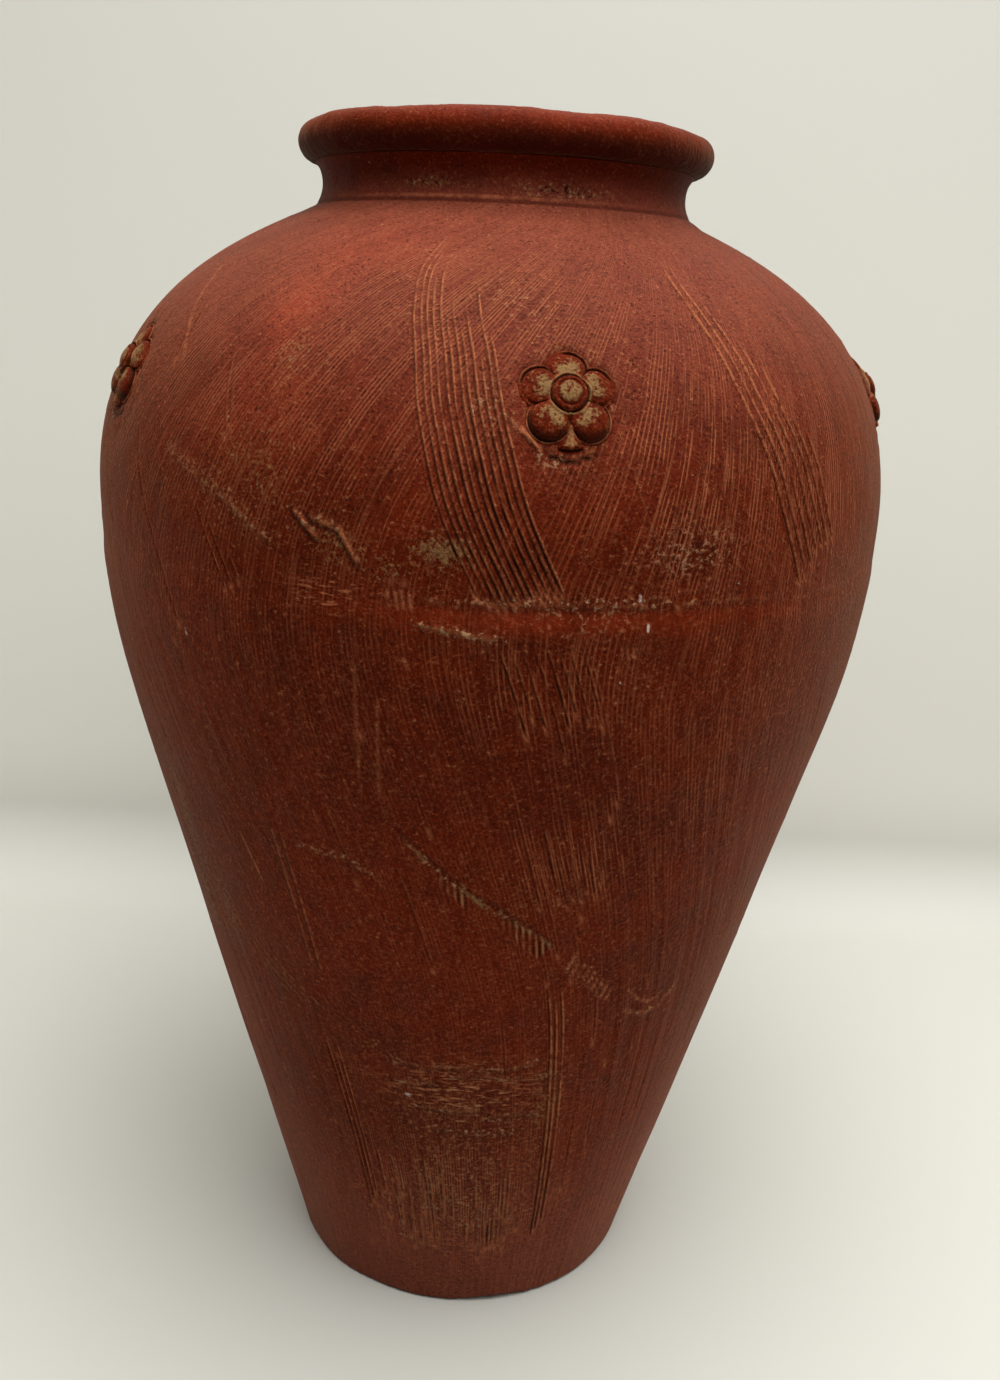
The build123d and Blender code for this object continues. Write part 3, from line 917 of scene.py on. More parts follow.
class NodeBench:
    """Adds the nodes of one shader tree and links them."""

    def __init__(self, tree):
        self.tree = tree

    def add(self, kind, settings=None, values=None):
        """A node, with its settings and the values of its unlinked sockets."""
        node = self.tree.nodes.new(kind)
        for key, value in (settings or {}).items():
            setattr(node, key, value)
        for key, value in (values or {}).items():
            node.inputs[key].default_value = value
        return node

    def feed(self, socket, source):
        """Links a socket to a source, or gives it a plain value."""
        if isinstance(source, bpy.types.NodeSocket):
            self.tree.links.new(source, socket)
        else:
            socket.default_value = source

    def math(self, operation, first, second=None, clamp=False):
        """Result of a math node fed by sockets or plain numbers."""
        node = self.add("ShaderNodeMath", {"operation": operation, "use_clamp": clamp})
        self.feed(node.inputs[0], first)
        if second is not None:
            self.feed(node.inputs[1], second)
        return node.outputs[0]

    def times(self, first, second, clamp=False):
        """Product of two sockets or numbers."""
        return self.math("MULTIPLY", first, second, clamp)

    def plus(self, *sources):
        """Sum of several sockets or numbers."""
        total = sources[0]
        for source in sources[1:]:
            total = self.math("ADD", total, source)
        return total

    def spread(self, source, low, high, new_low=0.0, new_high=1.0):
        """Spreads a range of values over another, held at both ends."""
        node = self.add(
            "ShaderNodeMapRange",
            {"interpolation_type": "SMOOTHSTEP"},
            {"From Min": low, "From Max": high, "To Min": new_low, "To Max": new_high},
        )
        self.feed(node.inputs["Value"], source)
        return node.outputs["Result"]

    def mix(self, share, first, second):
        """Mixes two colours, each a socket or a plain colour."""
        node = self.add("ShaderNodeMix", {"data_type": "RGBA"})
        colours = [socket for socket in node.inputs if socket.type == "RGBA"]
        for socket, source in zip((node.inputs[0], *colours), (share, first, second)):
            self.feed(socket, source)
        return [socket for socket in node.outputs if socket.type == "RGBA"][0]

    def noise(self, place, scale, detail, rough, distortion=0.0):
        """Noise read at a place."""
        node = self.add(
            "ShaderNodeTexNoise",
            {"noise_dimensions": "3D"},
            {"Scale": scale, "Detail": detail, "Roughness": rough, "Distortion": distortion},
        )
        self.feed(node.inputs["Vector"], place)
        return node.outputs["Fac"]

    def kept(self, name):
        """A value that the piece keeps at its vertices."""
        node = self.add("ShaderNodeAttribute", {"attribute_type": "GEOMETRY", "attribute_name": name})
        return node.outputs["Fac"]

    def place(self):
        """Place on the piece."""
        return self.add("ShaderNodeTexCoord").outputs["Object"]

    def split(self, place):
        """The three parts of a place."""
        node = self.add("ShaderNodeSeparateXYZ")
        self.feed(node.inputs[0], place)
        return node.outputs["X"], node.outputs["Y"], node.outputs["Z"]

    def stretched(self, place, scale):
        """A place scaled by its own share along each axis."""
        node = self.add("ShaderNodeMapping", None, {"Scale": scale})
        self.feed(node.inputs["Vector"], place)
        return node.outputs[0]


def scraping_group():
    """Close scraping lines that follow the turn kept on the wall."""
    found = bpy.data.node_groups.get("scraping")
    if found:
        return found
    group, entry, leave = new_group("scraping", {"Lines": 560.0}, ("Relief", "Line", "Streak"))
    bench = NodeBench(group)
    times, plus, spread = bench.times, bench.plus, bench.spread
    x, y, z = bench.split(bench.place())
    turn = plus(bench.math("ARCTAN2", x, times(y, -1.0)), bench.kept("scrape_turn"))
    joined = bench.add("ShaderNodeCombineXYZ")
    bench.feed(joined.inputs["X"], times(bench.math("SINE", turn), 30.0))
    bench.feed(joined.inputs["Y"], times(bench.math("COSINE", turn), 30.0))
    bench.feed(joined.inputs["Z"], times(z, 42.0))
    along = joined.outputs[0]
    streak = bench.noise(along, 1.0, 4.0, 0.6)
    drift = times(bench.noise(along, 0.5, 2.0, 0.5), 14.0)
    phase = plus(times(turn, entry.outputs["Lines"]), drift)
    wave = plus(times(bench.math("SINE", phase), 0.5), 0.5)
    close = bench.stretched(along, (4.2, 4.2, 0.8))
    scratch = spread(bench.noise(close, 1.0, 3.0, 0.6), 0.54, 0.68)
    seen = spread(streak, 0.42, 0.6)
    thin = times(spread(wave, 0.55, 0.95), seen)
    bench.feed(leave.inputs["Relief"], plus(times(wave, seen), times(scratch, 0.8)))
    bench.feed(leave.inputs["Line"], bench.math("MAXIMUM", thin, times(scratch, 0.7)))
    bench.feed(leave.inputs["Streak"], streak)
    return group


# Grain of the clay from coarse to fine: scale, detail, roughness and distortion of its noise
GRAINS = {
    "Cloud": (9.0, 5.0, 0.6, 0.4),
    "Mottle": (70.0, 6.0, 0.65),
    "Speck": (330.0, 4.0, 0.65),
    "Crumb": (560.0, 3.0, 0.6),
    "Grain": (1000.0, 3.0, 0.65),
}


def grain_group():
    """Clouds, mottling, specks and fine grain of the clay, and level rubbing."""
    found = bpy.data.node_groups.get("grain")
    if found:
        return found
    group, _, leave = new_group("grain", {}, (*GRAINS, "Rub"))
    bench = NodeBench(group)
    place = bench.place()
    for label, values in GRAINS.items():
        bench.feed(leave.inputs[label], bench.noise(place, *values))
    level = bench.stretched(place, (150.0, 150.0, 760.0))
    bench.feed(leave.inputs["Rub"], bench.noise(level, 1.0, 3.0, 0.6))
    return group


def clay_material(name, colours, dust):
    """Matt red slip over brown clay, with tan dust, painted shade in grooves, painted highlights and
    sheen, scraping and grit.
    """
    found = bpy.data.materials.get(name)
    if found:
        return found
    material = bpy.data.materials.new(name)
    material.use_nodes = True
    shader = material.node_tree.nodes["Principled BSDF"]
    shader.inputs["Specular IOR Level"].default_value = colours.gloss
    shader.inputs["Sheen Weight"].default_value = colours.sheen
    shader.inputs["Sheen Roughness"].default_value = 0.35
    shader.inputs["Sheen Tint"].default_value = (1.0, 0.52, 0.25, 1)
    bench = NodeBench(material.node_tree)
    times, plus, spread, mix = bench.times, bench.plus, bench.spread, bench.mix
    scraping = bench.add("ShaderNodeGroup", {"node_tree": scraping_group()})
    line, scored_relief, streak = (scraping.outputs[label] for label in ("Line", "Relief", "Streak"))
    grain = bench.add("ShaderNodeGroup", {"node_tree": grain_group()})
    cloud, mottle, speck, crumb, fine = (grain.outputs[label] for label in GRAINS)
    rub = grain.outputs["Rub"]
    wear_and_light = {label: bench.kept(label) for label in WEAR_AND_PAINTED_LIGHT}

    def paint(label):
        return tuple(getattr(colours, label)) + (1,)

    # Ground colour of the slip, its brighter red places, painted sheen on the parts that face the
    # light, and dull specks
    rough = bench.math("SUBTRACT", 1.0, times(wear_and_light["smooth"], 0.8, True))
    hatch = times(wear_and_light["hatch"], rough)
    tone = plus(times(cloud, 0.5), times(mottle, 0.42), times(streak, 0.08))
    colour = mix(spread(tone, 0.38, 0.62), paint("slip_brown"), paint("slip_red"))
    warm = times(wear_and_light["flush"], spread(mottle, 0.3, 0.7, 0.35, 1.0), True)
    colour = mix(warm, colour, paint("slip_flush"))
    painted_sheen_share = times(wear_and_light["bloom"], spread(tone, 0.3, 0.7, 0.55, 1.0))
    colour = mix(painted_sheen_share, colour, paint("painted_sheen_slip"))
    pits = times(times(spread(crumb, 0.46, 0.34), wear_and_light["grit"]), 0.75)
    dull = bench.math("MAXIMUM", times(spread(fine, 0.49, 0.3), times(rough, 0.9)), pits)
    colour = mix(times(dull, 1.0, True), colour, paint("painted_shade_and_specks"))
    # Rubbed edges with painted highlights, painted highlights on scraping lines, pale grain, and level
    # rubbing
    crumbly = times(spread(crumb, 0.5, 0.64), wear_and_light["grit"])
    lit = plus(
        times(times(line, hatch), 0.5),
        times(spread(fine, 0.56, 0.74), times(rough, 0.38)),
        times(spread(crumb, 0.66, 0.72), times(rough, 0.45)),
        times(crumbly, 0.3),
        times(wear_and_light["worn"], spread(speck, 0.35, 0.6, 0.1, 0.75)),
    )
    colour = mix(bench.math("MINIMUM", lit, 0.8), colour, paint("slip_wear_and_highlight"))
    streaks = times(wear_and_light["cross"], spread(rub, 0.52, 0.66))
    colour = mix(times(streaks, 0.6, True), colour, paint("slip_wear_and_highlight"))
    # Crumbs, dust, painted shade in grooves and hollows, and chips
    level = times(wear_and_light["cross"], 0.7, True)
    loose = plus(times(crumb, bench.math("SUBTRACT", 1.0, level)), times(rub, level))
    flecks = times(spread(loose, 0.555, 0.62), spread(wear_and_light["grit"], 0.45, 1.5))
    colour = mix(flecks, colour, paint("crumb_tan"))
    ragged = plus(times(crumb, 0.4), times(mottle, 0.2), times(fine, 0.4), times(wear_and_light["patina"], 0.16))
    colour = mix(times(spread(ragged, 0.585, 0.72), dust), colour, paint("patina_tan"))
    colour = mix(times(wear_and_light["groove"], 0.8, True), colour, paint("painted_shade_and_specks"))
    chipped = spread(times(wear_and_light["pale"], times(speck, 1.9)), 0.4, 0.75)
    colour = mix(chipped, colour, paint("chip_pale"))
    bench.feed(shader.inputs["Base Color"], colour)
    bench.feed(shader.inputs["Roughness"], spread(mottle, 0.3, 0.7, 0.5, 0.64))
    # Fine relief, in mm
    gritty = plus(times(crumbly, 0.5), times(spread(speck, 0.42, 0.66), 0.08))
    relief = plus(
        times(times(scored_relief, hatch), 0.26),
        gritty,
        times(fine, times(rough, 0.55)),
        times(times(rub, wear_and_light["cross"]), 0.4),
        times(mottle, 0.25),
    )
    bump = bench.add("ShaderNodeBump", None, {"Strength": 1.0, "Distance": MM})
    bench.feed(bump.inputs["Height"], relief)
    bench.feed(shader.inputs["Normal"], bump.outputs["Normal"])
    return material


class PithosWall(bpy.types.PropertyGroup):
    """Sizes of the wall and of the marks in it."""

    thickness: bpy.props.FloatProperty(
        name="Wall thickness", description="Thickness of the clay wall", default=0.011, unit="LENGTH"
    )
    lap: bpy.props.FloatProperty(
        name="Lap",
        description="How far a lap joint climbs through the wall",
        default=0.0099,
        unit="LENGTH",
    )
    unevenness: bpy.props.FloatProperty(
        name="Unevenness",
        description="Swell and hollow of the hand-built wall",
        default=0.0007,
        unit="LENGTH",
    )
    scrape_depth: bpy.props.FloatProperty(
        name="Scraping",
        description="Depth of the scraping that follows the strokes",
        default=0.00009,
        unit="LENGTH",
    )
    comb_depth: bpy.props.FloatProperty(
        name="Comb depth", description="Depth of the grooves of a comb", default=0.0008, unit="LENGTH"
    )
    comb_width: bpy.props.FloatProperty(
        name="Comb tooth",
        description="Half width of one groove of a comb",
        default=0.00045,
        unit="LENGTH",
    )
    seam_step: bpy.props.FloatProperty(
        name="Seam step",
        description="Step at the seam under the shoulder",
        default=0.0011,
        unit="LENGTH",
    )
    seat_depth: bpy.props.FloatProperty(
        name="Rosette seat",
        description="Depth of the wall under a pressed rosette",
        default=0.003,
        unit="LENGTH",
    )
    rosette_height: bpy.props.FloatProperty(
        name="Rosette height",
        description="Height of the middle of the rosettes",
        default=0.4250,
        unit="LENGTH",
    )


class PithosSprig(bpy.types.PropertyGroup):
    """Sizes of one pressed rosette."""

    spread: bpy.props.FloatProperty(
        name="Spread", description="How far the petals stand apart, as a share", default=1.0
    )
    petal_height: bpy.props.FloatProperty(
        name="Petal height", description="Rise of a petal over the wall", default=0.0034, unit="LENGTH"
    )
    moat_depth: bpy.props.FloatProperty(
        name="Moat depth",
        description="Depth of the crease round each petal",
        default=0.0008,
        unit="LENGTH",
    )
    button_radius: bpy.props.FloatProperty(
        name="Button radius", description="Radius of the round middle", default=0.0057, unit="LENGTH"
    )
    boss_radius: bpy.props.FloatProperty(
        name="Boss radius",
        description="Radius of the dome in the middle",
        default=0.0041,
        unit="LENGTH",
    )
    boss_height: bpy.props.FloatProperty(
        name="Boss height", description="Rise of the dome over the wall", default=0.0046, unit="LENGTH"
    )


class PithosNeck(bpy.types.PropertyGroup):
    """Sizes of the neck and of the rolled lip."""

    wall: bpy.props.FloatProperty(
        name="Neck wall", description="Thickness of the neck", default=0.010, unit="LENGTH"
    )
    foot_depth: bpy.props.FloatProperty(
        name="Neck foot",
        description="How far the neck's inner edge lies under its outer one",
        default=0.006,
        unit="LENGTH",
    )
    waist_radius: bpy.props.FloatProperty(
        name="Waist radius",
        description="Outer radius of the neck's waist",
        default=0.0764,
        unit="LENGTH",
    )
    waist_rise: bpy.props.FloatProperty(
        name="Waist rise",
        description="Height of the waist over the shoulder",
        default=0.009,
        unit="LENGTH",
    )
    roll_radius: bpy.props.FloatProperty(
        name="Lip radius", description="Half thickness of the rolled lip", default=0.008, unit="LENGTH"
    )
    seat_depth: bpy.props.FloatProperty(
        name="Lip seat",
        description="Depth of the flat by which the lip sits on the neck",
        default=0.0026,
        unit="LENGTH",
    )


class PithosClay(bpy.types.PropertyGroup):
    """Colours of the slip, the clay under it and its wear, and of the painted shade, highlights and
    sheen.
    """

    slip_red: bpy.props.FloatVectorProperty(
        name="Red slip",
        description="Main colour of the slip",
        default=(0.108, 0.0094, 0.0012),
        subtype="COLOR",
    )
    slip_brown: bpy.props.FloatVectorProperty(
        name="Brown slip",
        description="Colour of the slip where it is thin",
        default=(0.065, 0.0058, 0.0008),
        subtype="COLOR",
    )
    slip_flush: bpy.props.FloatVectorProperty(
        name="Flush",
        description="Brighter red where the slip is thick",
        default=(0.25, 0.027, 0.007),
        subtype="COLOR",
    )
    # Painted highlight colour for lit edges, also used for rubbed slip
    slip_wear_and_highlight: bpy.props.FloatVectorProperty(
        name="Worn slip",
        description="Lighter slip on rubbed edges",
        default=(0.37, 0.115, 0.048),
        subtype="COLOR",
    )
    patina_tan: bpy.props.FloatVectorProperty(
        name="Patina",
        description="Tan dust in hollows and on rubbed clay",
        default=(0.19, 0.112, 0.043),
        subtype="COLOR",
    )
    # Painted shade at the bottom of grooves and in creases and hollows, also the colour of dull specks
    painted_shade_and_specks: bpy.props.FloatVectorProperty(
        name="Groove",
        description="Dark slip at the bottom of grooves",
        default=(0.016, 0.003, 0.0015),
        subtype="COLOR",
    )
    crumb_tan: bpy.props.FloatVectorProperty(
        name="Crumbs",
        description="Dry crumbs of clay on rough ground",
        default=(0.29, 0.155, 0.082),
        subtype="COLOR",
    )
    chip_pale: bpy.props.FloatVectorProperty(
        name="Chip",
        description="Pale body of the clay in fresh chips",
        default=(0.42, 0.31, 0.26),
        subtype="COLOR",
    )
    # Painted sheen on the parts that face the light
    painted_sheen_slip: bpy.props.FloatVectorProperty(
        name="Bloom",
        description="Pale film on the parts that face up",
        default=(0.182, 0.0485, 0.0305),
        subtype="COLOR",
    )
    gloss: bpy.props.FloatProperty(
        name="Gloss", description="Strength of the slip's shine", default=0.022
    )
    sheen: bpy.props.FloatProperty(
        name="Sheen", description="Dusty glow at a slanting view", default=0.11
    )


class PithosStage(bpy.types.PropertyGroup):
    """Place of the camera, and strength of the lights."""

    camera_distance: bpy.props.FloatProperty(
        name="Camera distance", description="From the jar's axis", default=0.5854, unit="LENGTH"
    )
    camera_height: bpy.props.FloatProperty(
        name="Camera height", description="Above the floor", default=0.4547, unit="LENGTH"
    )
    camera_side: bpy.props.FloatProperty(
        name="Camera side",
        description="Angle from the front rosette",
        default=radians(-8.64),
        subtype="ANGLE",
    )
    camera_turn: bpy.props.FloatProperty(
        name="Camera turn",
        description="How far the camera looks past the axis",
        default=radians(0.76),
        subtype="ANGLE",
    )
    camera_tilt: bpy.props.FloatProperty(
        name="Camera tilt",
        description="How far the camera looks down",
        default=radians(16.87),
        subtype="ANGLE",
    )
    camera_roll: bpy.props.FloatProperty(
        name="Camera roll", description="Lean of the camera", default=radians(2.62), subtype="ANGLE"
    )
    lens: bpy.props.FloatProperty(name="Lens", description="Focal length in mm", default=33.89)
    key_power: bpy.props.FloatProperty(
        name="Key light", description="Power of the light overhead", default=101.0, unit="POWER"
    )
    back_power: bpy.props.FloatProperty(
        name="Backdrop light",
        description="Power of the light on the backdrop",
        default=11.5,
        unit="POWER",
    )
    fill_strength: bpy.props.FloatProperty(
        name="Fill", description="Strength of the light from all round", default=0.17
    )
    floor_colour: bpy.props.FloatVectorProperty(
        name="Floor",
        description="Colour of the floor and the backdrop",
        default=(0.55, 0.542, 0.486),
        subtype="COLOR",
    )


def jar_clay():
    """Finish of the wall, the neck and the lip, with little dust."""
    return clay_material("jar_finish", bpy.context.scene.pithos_clay, dust=0.6)


def rosette_clay():
    """Finish of the rosettes, with more dust."""
    return clay_material("rosette_finish", bpy.context.scene.pithos_clay, dust=0.85)


# Holds the marked wall once it is worked out
skin_store = {}


def wall_skin():
    """The marked wall, worked out once for all courses."""
    if "skin" not in skin_store:
        scene = bpy.context.scene
        skin_store["skin"] = WallSkin(WallOutline(), scene.pithos_wall, scene.pithos_sprig).build()
    return skin_store["skin"]


def store_wear_and_light(piece, skin, column, length, outside):
    """Keeps the wear and the painted light and shade of the wall on a piece, and leaves its hidden
    faces plain.
    """
    for name in WEAR_AND_PAINTED_LIGHT:
        values = skin.read(getattr(skin, name), column, length)
        store(piece, name, np.where(outside, values, 0))
    store(piece, "scrape_turn", skin.read(skin.turn, column, length))


class PITHOS_OT_courses(bpy.types.Operator):
    """Six courses of wall, marked by comb, scraper and thumb"""

    bl_idname = "pithos.courses"
    bl_label = "Courses"

    OUTER_ROWS = 62
    INNER_ROWS = 5
    # Height of the finger ridges on the inside, in mm
    RIDGE = 0.35
    # Middle and half height of the bands of level marks in mm, and how much closer the rows are
    LEVEL_MARKS = (
        (350, 8, 1.6),
        (376, 10, 0.8),
        (404, 8, 0.9),
        (232, 26, 0.6),
        (178, 10, 0.6),
        (54, 14, 0.5),
    )

    def execute(self, context):
        skin = wall_skin()
        outline = skin.outline
        wall = context.scene.pithos_wall
        lows = [outline.length_at_height(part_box(node)[0].z / MM) for node in COURSES[:-1]]
        crown_low = outline.length_at_shoulder_radius(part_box("crown_course")[1].x / MM)
        joints = [*lows, crown_low, outline.total]
        for node, low, high in zip(COURSES, joints, joints[1:]):
            self.build_course(skin, wall, node, low, high)
        return {"FINISHED"}

    def crowded_rows(self, outline, low, high):
        """Lengths of the outer rows of a course, closer together where marks run level."""
        length = np.linspace(low, high, 800)
        height = outline.at(length)[1]
        crowd = np.ones(length.shape)
        for middle, reach, more in self.LEVEL_MARKS:
            crowd += more * ramp(np.abs(height - middle), 1.4 * reach, reach)
        passed = np.append(0, np.cumsum(0.5 * (crowd[1:] + crowd[:-1])))
        return np.interp(np.linspace(0, passed[-1], self.OUTER_ROWS), passed, length)

    def build_course(self, skin, wall, node, low, high):
        """One course between two lap joints, its outside marked and its inside ridged."""
        outline = skin.outline
        lap = wall.lap / MM
        inside = np.minimum(np.linspace(high + lap, low + lap, self.INNER_ROWS), outline.total)
        length = np.append(self.crowded_rows(outline, low, high), inside)
        radius, height, out_r, out_z = outline.at(length)
        inward = np.append(np.zeros(self.OUTER_ROWS), np.full(self.INNER_ROWS, wall.thickness / MM))
        section = np.column_stack([radius - out_r * inward, height - out_z * inward])
        piece = turned_piece(f"{node}_clay", section)
        row, column = grid_places(piece)
        outside = row < self.OUTER_ROWS
        dent = skin.read(skin.dent - wall.seat_depth / MM * skin.seat, column, length[row])
        start = skin.start[column]
        ridges = self.RIDGE * np.sin(length[row] / 2.6 + 0.8 * np.sin(np.radians(3 * start)))
        shift = np.where(outside, dent, ridges - inward[row])
        set_round_places(
            piece,
            start + smooth_line(STROKE_DRIFT, height[row]),
            radius[row] + out_r[row] * shift,
            height[row] + out_z[row] * shift,
        )
        store_wear_and_light(piece, skin, column, length[row], outside)
        corners = (0, self.OUTER_ROWS - 1, self.OUTER_ROWS, self.OUTER_ROWS + self.INNER_ROWS - 1)
        finish_piece(piece, node, jar_clay(), corners)


class PITHOS_OT_base(bpy.types.Operator):
    """Flat slab of the base, with its worn lower edge"""

    bl_idname = "pithos.base"
    bl_label = "Base"

    # Chip in the lower edge: depth in mm, azimuth and half width in degrees
    CHIP_DEPTH = 1.6
    CHIP_PLACE = 3
    CHIP_WIDTH = 9
    # Rise of the slightly hollow underside, in mm
    HOLLOW = 0.8

    def execute(self, context):
        skin = wall_skin()
        outline = skin.outline
        wall = context.scene.pithos_wall
        top = outline.length_at_height(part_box("foot_course")[0].z / MM)
        floor_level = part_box("base_disc")[1].z / MM
        outer = np.linspace(0, top, 16)
        side_radius, side_height, out_r, out_z = outline.at(outer)
        under = np.linspace(0, outline.radius[0], 14)[:-1]
        over = np.linspace(self.floor_radius(outline, top, wall), 0, 12)
        radius = np.concatenate([under, side_radius, over])
        height = np.concatenate([np.zeros(under.size), side_height, np.full(over.size, floor_level)])
        piece = turned_piece("base_disc_clay", np.column_stack([radius, height]))
        row, column = grid_places(piece)
        radius, height = radius[row], height[row]
        edge = under.size + outer.size
        on_side = (row >= under.size) & (row < edge)
        side = np.clip(row - under.size, 0, outer.size - 1)
        azimuth = skin.start[column] + smooth_line(STROKE_DRIFT, height)
        chip = bell(wrapped(azimuth - self.CHIP_PLACE), 0, self.CHIP_WIDTH)
        chip *= self.CHIP_DEPTH * (1 - ramp(height, 0.5, 3.5))
        shift = np.where(on_side, skin.read(skin.dent, column, outer[side]) - chip, 0)
        hollow = np.where(row < under.size, self.HOLLOW * ramp(radius, 78, 60), 0)
        set_round_places(
            piece,
            azimuth,
            np.maximum(radius + out_r[side] * shift, 0),
            np.maximum(height + out_z[side] * shift, 0) + hollow,
        )
        store_wear_and_light(piece, skin, column, outer[side], on_side)
        finish_piece(piece, "base_disc", jar_clay(), (edge - 1, edge))
        return {"FINISHED"}

    def floor_radius(self, outline, top, wall):
        """Radius of the floor inside the jar."""
        radius, _, out_r, _ = outline.at(top + wall.lap / MM)
        return radius - out_r * wall.thickness / MM


def arc_through(first, middle, last, count):
    """Points of the arc through three points."""
    (ax, ay), (bx, by), (cx, cy) = first, middle, last
    d = 2 * (ax * (by - cy) + bx * (cy - ay) + cx * (ay - by))
    a2, b2, c2 = ax * ax + ay * ay, bx * bx + by * by, cx * cx + cy * cy
    ux = (a2 * (by - cy) + b2 * (cy - ay) + c2 * (ay - by)) / d
    uy = (a2 * (cx - bx) + b2 * (ax - cx) + c2 * (bx - ax)) / d
    start = np.arctan2(ay - uy, ax - ux)
    end = np.arctan2(cy - uy, cx - ux)
    passing = np.arctan2(by - uy, bx - ux)
    sweep = (end - start) % (2 * pi)
    if (passing - start) % (2 * pi) > sweep:
        sweep -= 2 * pi
    turn = start + np.linspace(0, sweep, count)
    size = np.hypot(ax - ux, ay - uy)
    return np.column_stack([ux + size * np.cos(turn), uy + size * np.sin(turn)])


def lip_seat(neck):
    """Middle of the rolled lip, and the outer and inner ends of its seat on the neck, in mm."""
    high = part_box("rim_roll")[1]
    size = neck.roll_radius / MM
    middle = np.array([high.x / MM - size, high.z / MM - size])
    slope = np.array([cos(pi / 4), sin(pi / 4)])
    reach = size - neck.seat_depth / MM
    half = np.sqrt(size**2 - reach**2)
    way = np.array([slope[1], -slope[0]])
    return middle, middle - slope * reach + way * half, middle - slope * reach - way * half


class PITHOS_OT_neck(bpy.types.Operator):
    """Short concave neck between the shoulder and the lip"""

    bl_idname = "pithos.neck"
    bl_label = "Neck"

    OUTER_ROWS = 26
    INNER_ROWS = 20

    def execute(self, context):
        outline = wall_skin().outline
        neck = context.scene.pithos_neck
        _, seat_out, seat_in = lip_seat(neck)
        corner = np.array([outline.radius[-1], outline.height[-1]])
        waist = np.array([neck.waist_radius / MM, corner[1] + neck.waist_rise / MM])
        wall = neck.wall / MM
        outer = arc_through(corner, waist, seat_out, self.OUTER_ROWS)
        foot = corner - [wall, neck.foot_depth / MM]
        inner = arc_through(seat_in, waist - [wall, 0], foot, self.INNER_ROWS)
        section = np.vstack([outer, inner])
        piece = turned_piece("neck_collar_clay", section)
        row, column = grid_places(piece)
        outside = row < self.OUTER_ROWS
        azimuth = column * 360 / COLUMNS
        over = section[row, 1] - corner[1]
        shape = (COLUMNS, 64)
        rough = soft_noise(shape, 26, 8, 91) * 0.25 + soft_noise(shape, 5, 1.2, 92) * 0.06
        rough = rough[column, np.clip(over + 8, 0, 63).astype(int)]
        freed = ramp(over, 0, 4) * ramp(seat_out[1] - section[row, 1], 0, 3)
        worked = (rough - 0.3) * freed - 0.35 * bell(over, 1.0, 0.7)
        shift = np.where(outside, worked, 0.4 * rough)
        set_round_places(piece, azimuth, section[row, 0] + shift, section[row, 1])
        dusty = bell(wrapped(azimuth + 29), 0, 10) * bell(over, 7, 2.2)
        dusty += bell(wrapped(azimuth - 9), 0, 15) * bell(over, 5.5, 3)
        # Painted shade in the crease at the neck's foot, a painted highlight on the line just above
        # it, painted sheen on the lower neck that flares out and faces up, and dust
        marks = {
            "groove": 0.7 * bell(over, 0.8, 0.6),
            "patina": 0.8 * dusty,
            "grit": 1.5 * dusty,
            "worn": bell(over, 2.2, 0.5) * bell(wrapped(azimuth + 15), 0, 30),
            "bloom": 0.45 * ramp(over, 16, 4),
        }
        for name, values in marks.items():
            store(piece, name, np.where(outside, values, 0))
        store(piece, "smooth", np.where(outside, 0.4, 0.2))
        corners = (0, self.OUTER_ROWS - 1, self.OUTER_ROWS, len(section) - 1)
        finish_piece(piece, "neck_collar", jar_clay(), corners)
        return {"FINISHED"}


class PITHOS_OT_lip(bpy.types.Operator):
    """Rolled lip, a coil luted on the top of the neck"""

    bl_idname = "pithos.lip"
    bl_label = "Lip"

    ROWS = 60

    def execute(self, context):
        neck = context.scene.pithos_neck
        middle, seat_out, seat_in = lip_seat(neck)
        crest = middle + neck.roll_radius / MM * np.array([cos(pi / 4), sin(pi / 4)])
        coil = arc_through(seat_out, crest, seat_in, self.ROWS)
        section = np.vstack([coil, (seat_out + seat_in)[None] / 2])
        piece = turned_piece("rim_roll_clay", section)
        row, column = grid_places(piece)
        shape = (COLUMNS, 64)
        rough = soft_noise(shape, 34, 12, 93) * 0.22 + soft_noise(shape, 8, 4, 94) * 0.09
        rough = np.minimum(rough + soft_noise(shape, 1.6, 1.4, 95) * 0.04 - 0.35, 0)
        outward = (section - middle) / np.linalg.norm(section - middle, axis=1)[:, None]
        shift = np.where(row < self.ROWS, rough[column, row], 0)
        place = section[row] + outward[row] * shift[:, None]
        set_round_places(piece, column * 360 / COLUMNS, place[:, 0], place[:, 1])
        tilt = np.degrees(np.arctan2(section[row, 1] - middle[1], section[row, 0] - middle[0]))
        store(piece, "patina", 0.35 * bell(tilt, -30, 25))
        store(piece, "grit", 0.12)
        store(piece, "smooth", 0.45)
        # Painted sheen on the top of the lip, which faces the light, and painted shade on its lower
        # side, which faces down
        store(piece, "bloom", 0.7 * ramp(tilt, 20, 90))
        store(piece, "groove", 0.7 * ramp(tilt, 35, -25))
        finish_piece(piece, "rim_roll", jar_clay(), (0, self.ROWS - 1))
        return {"FINISHED"}


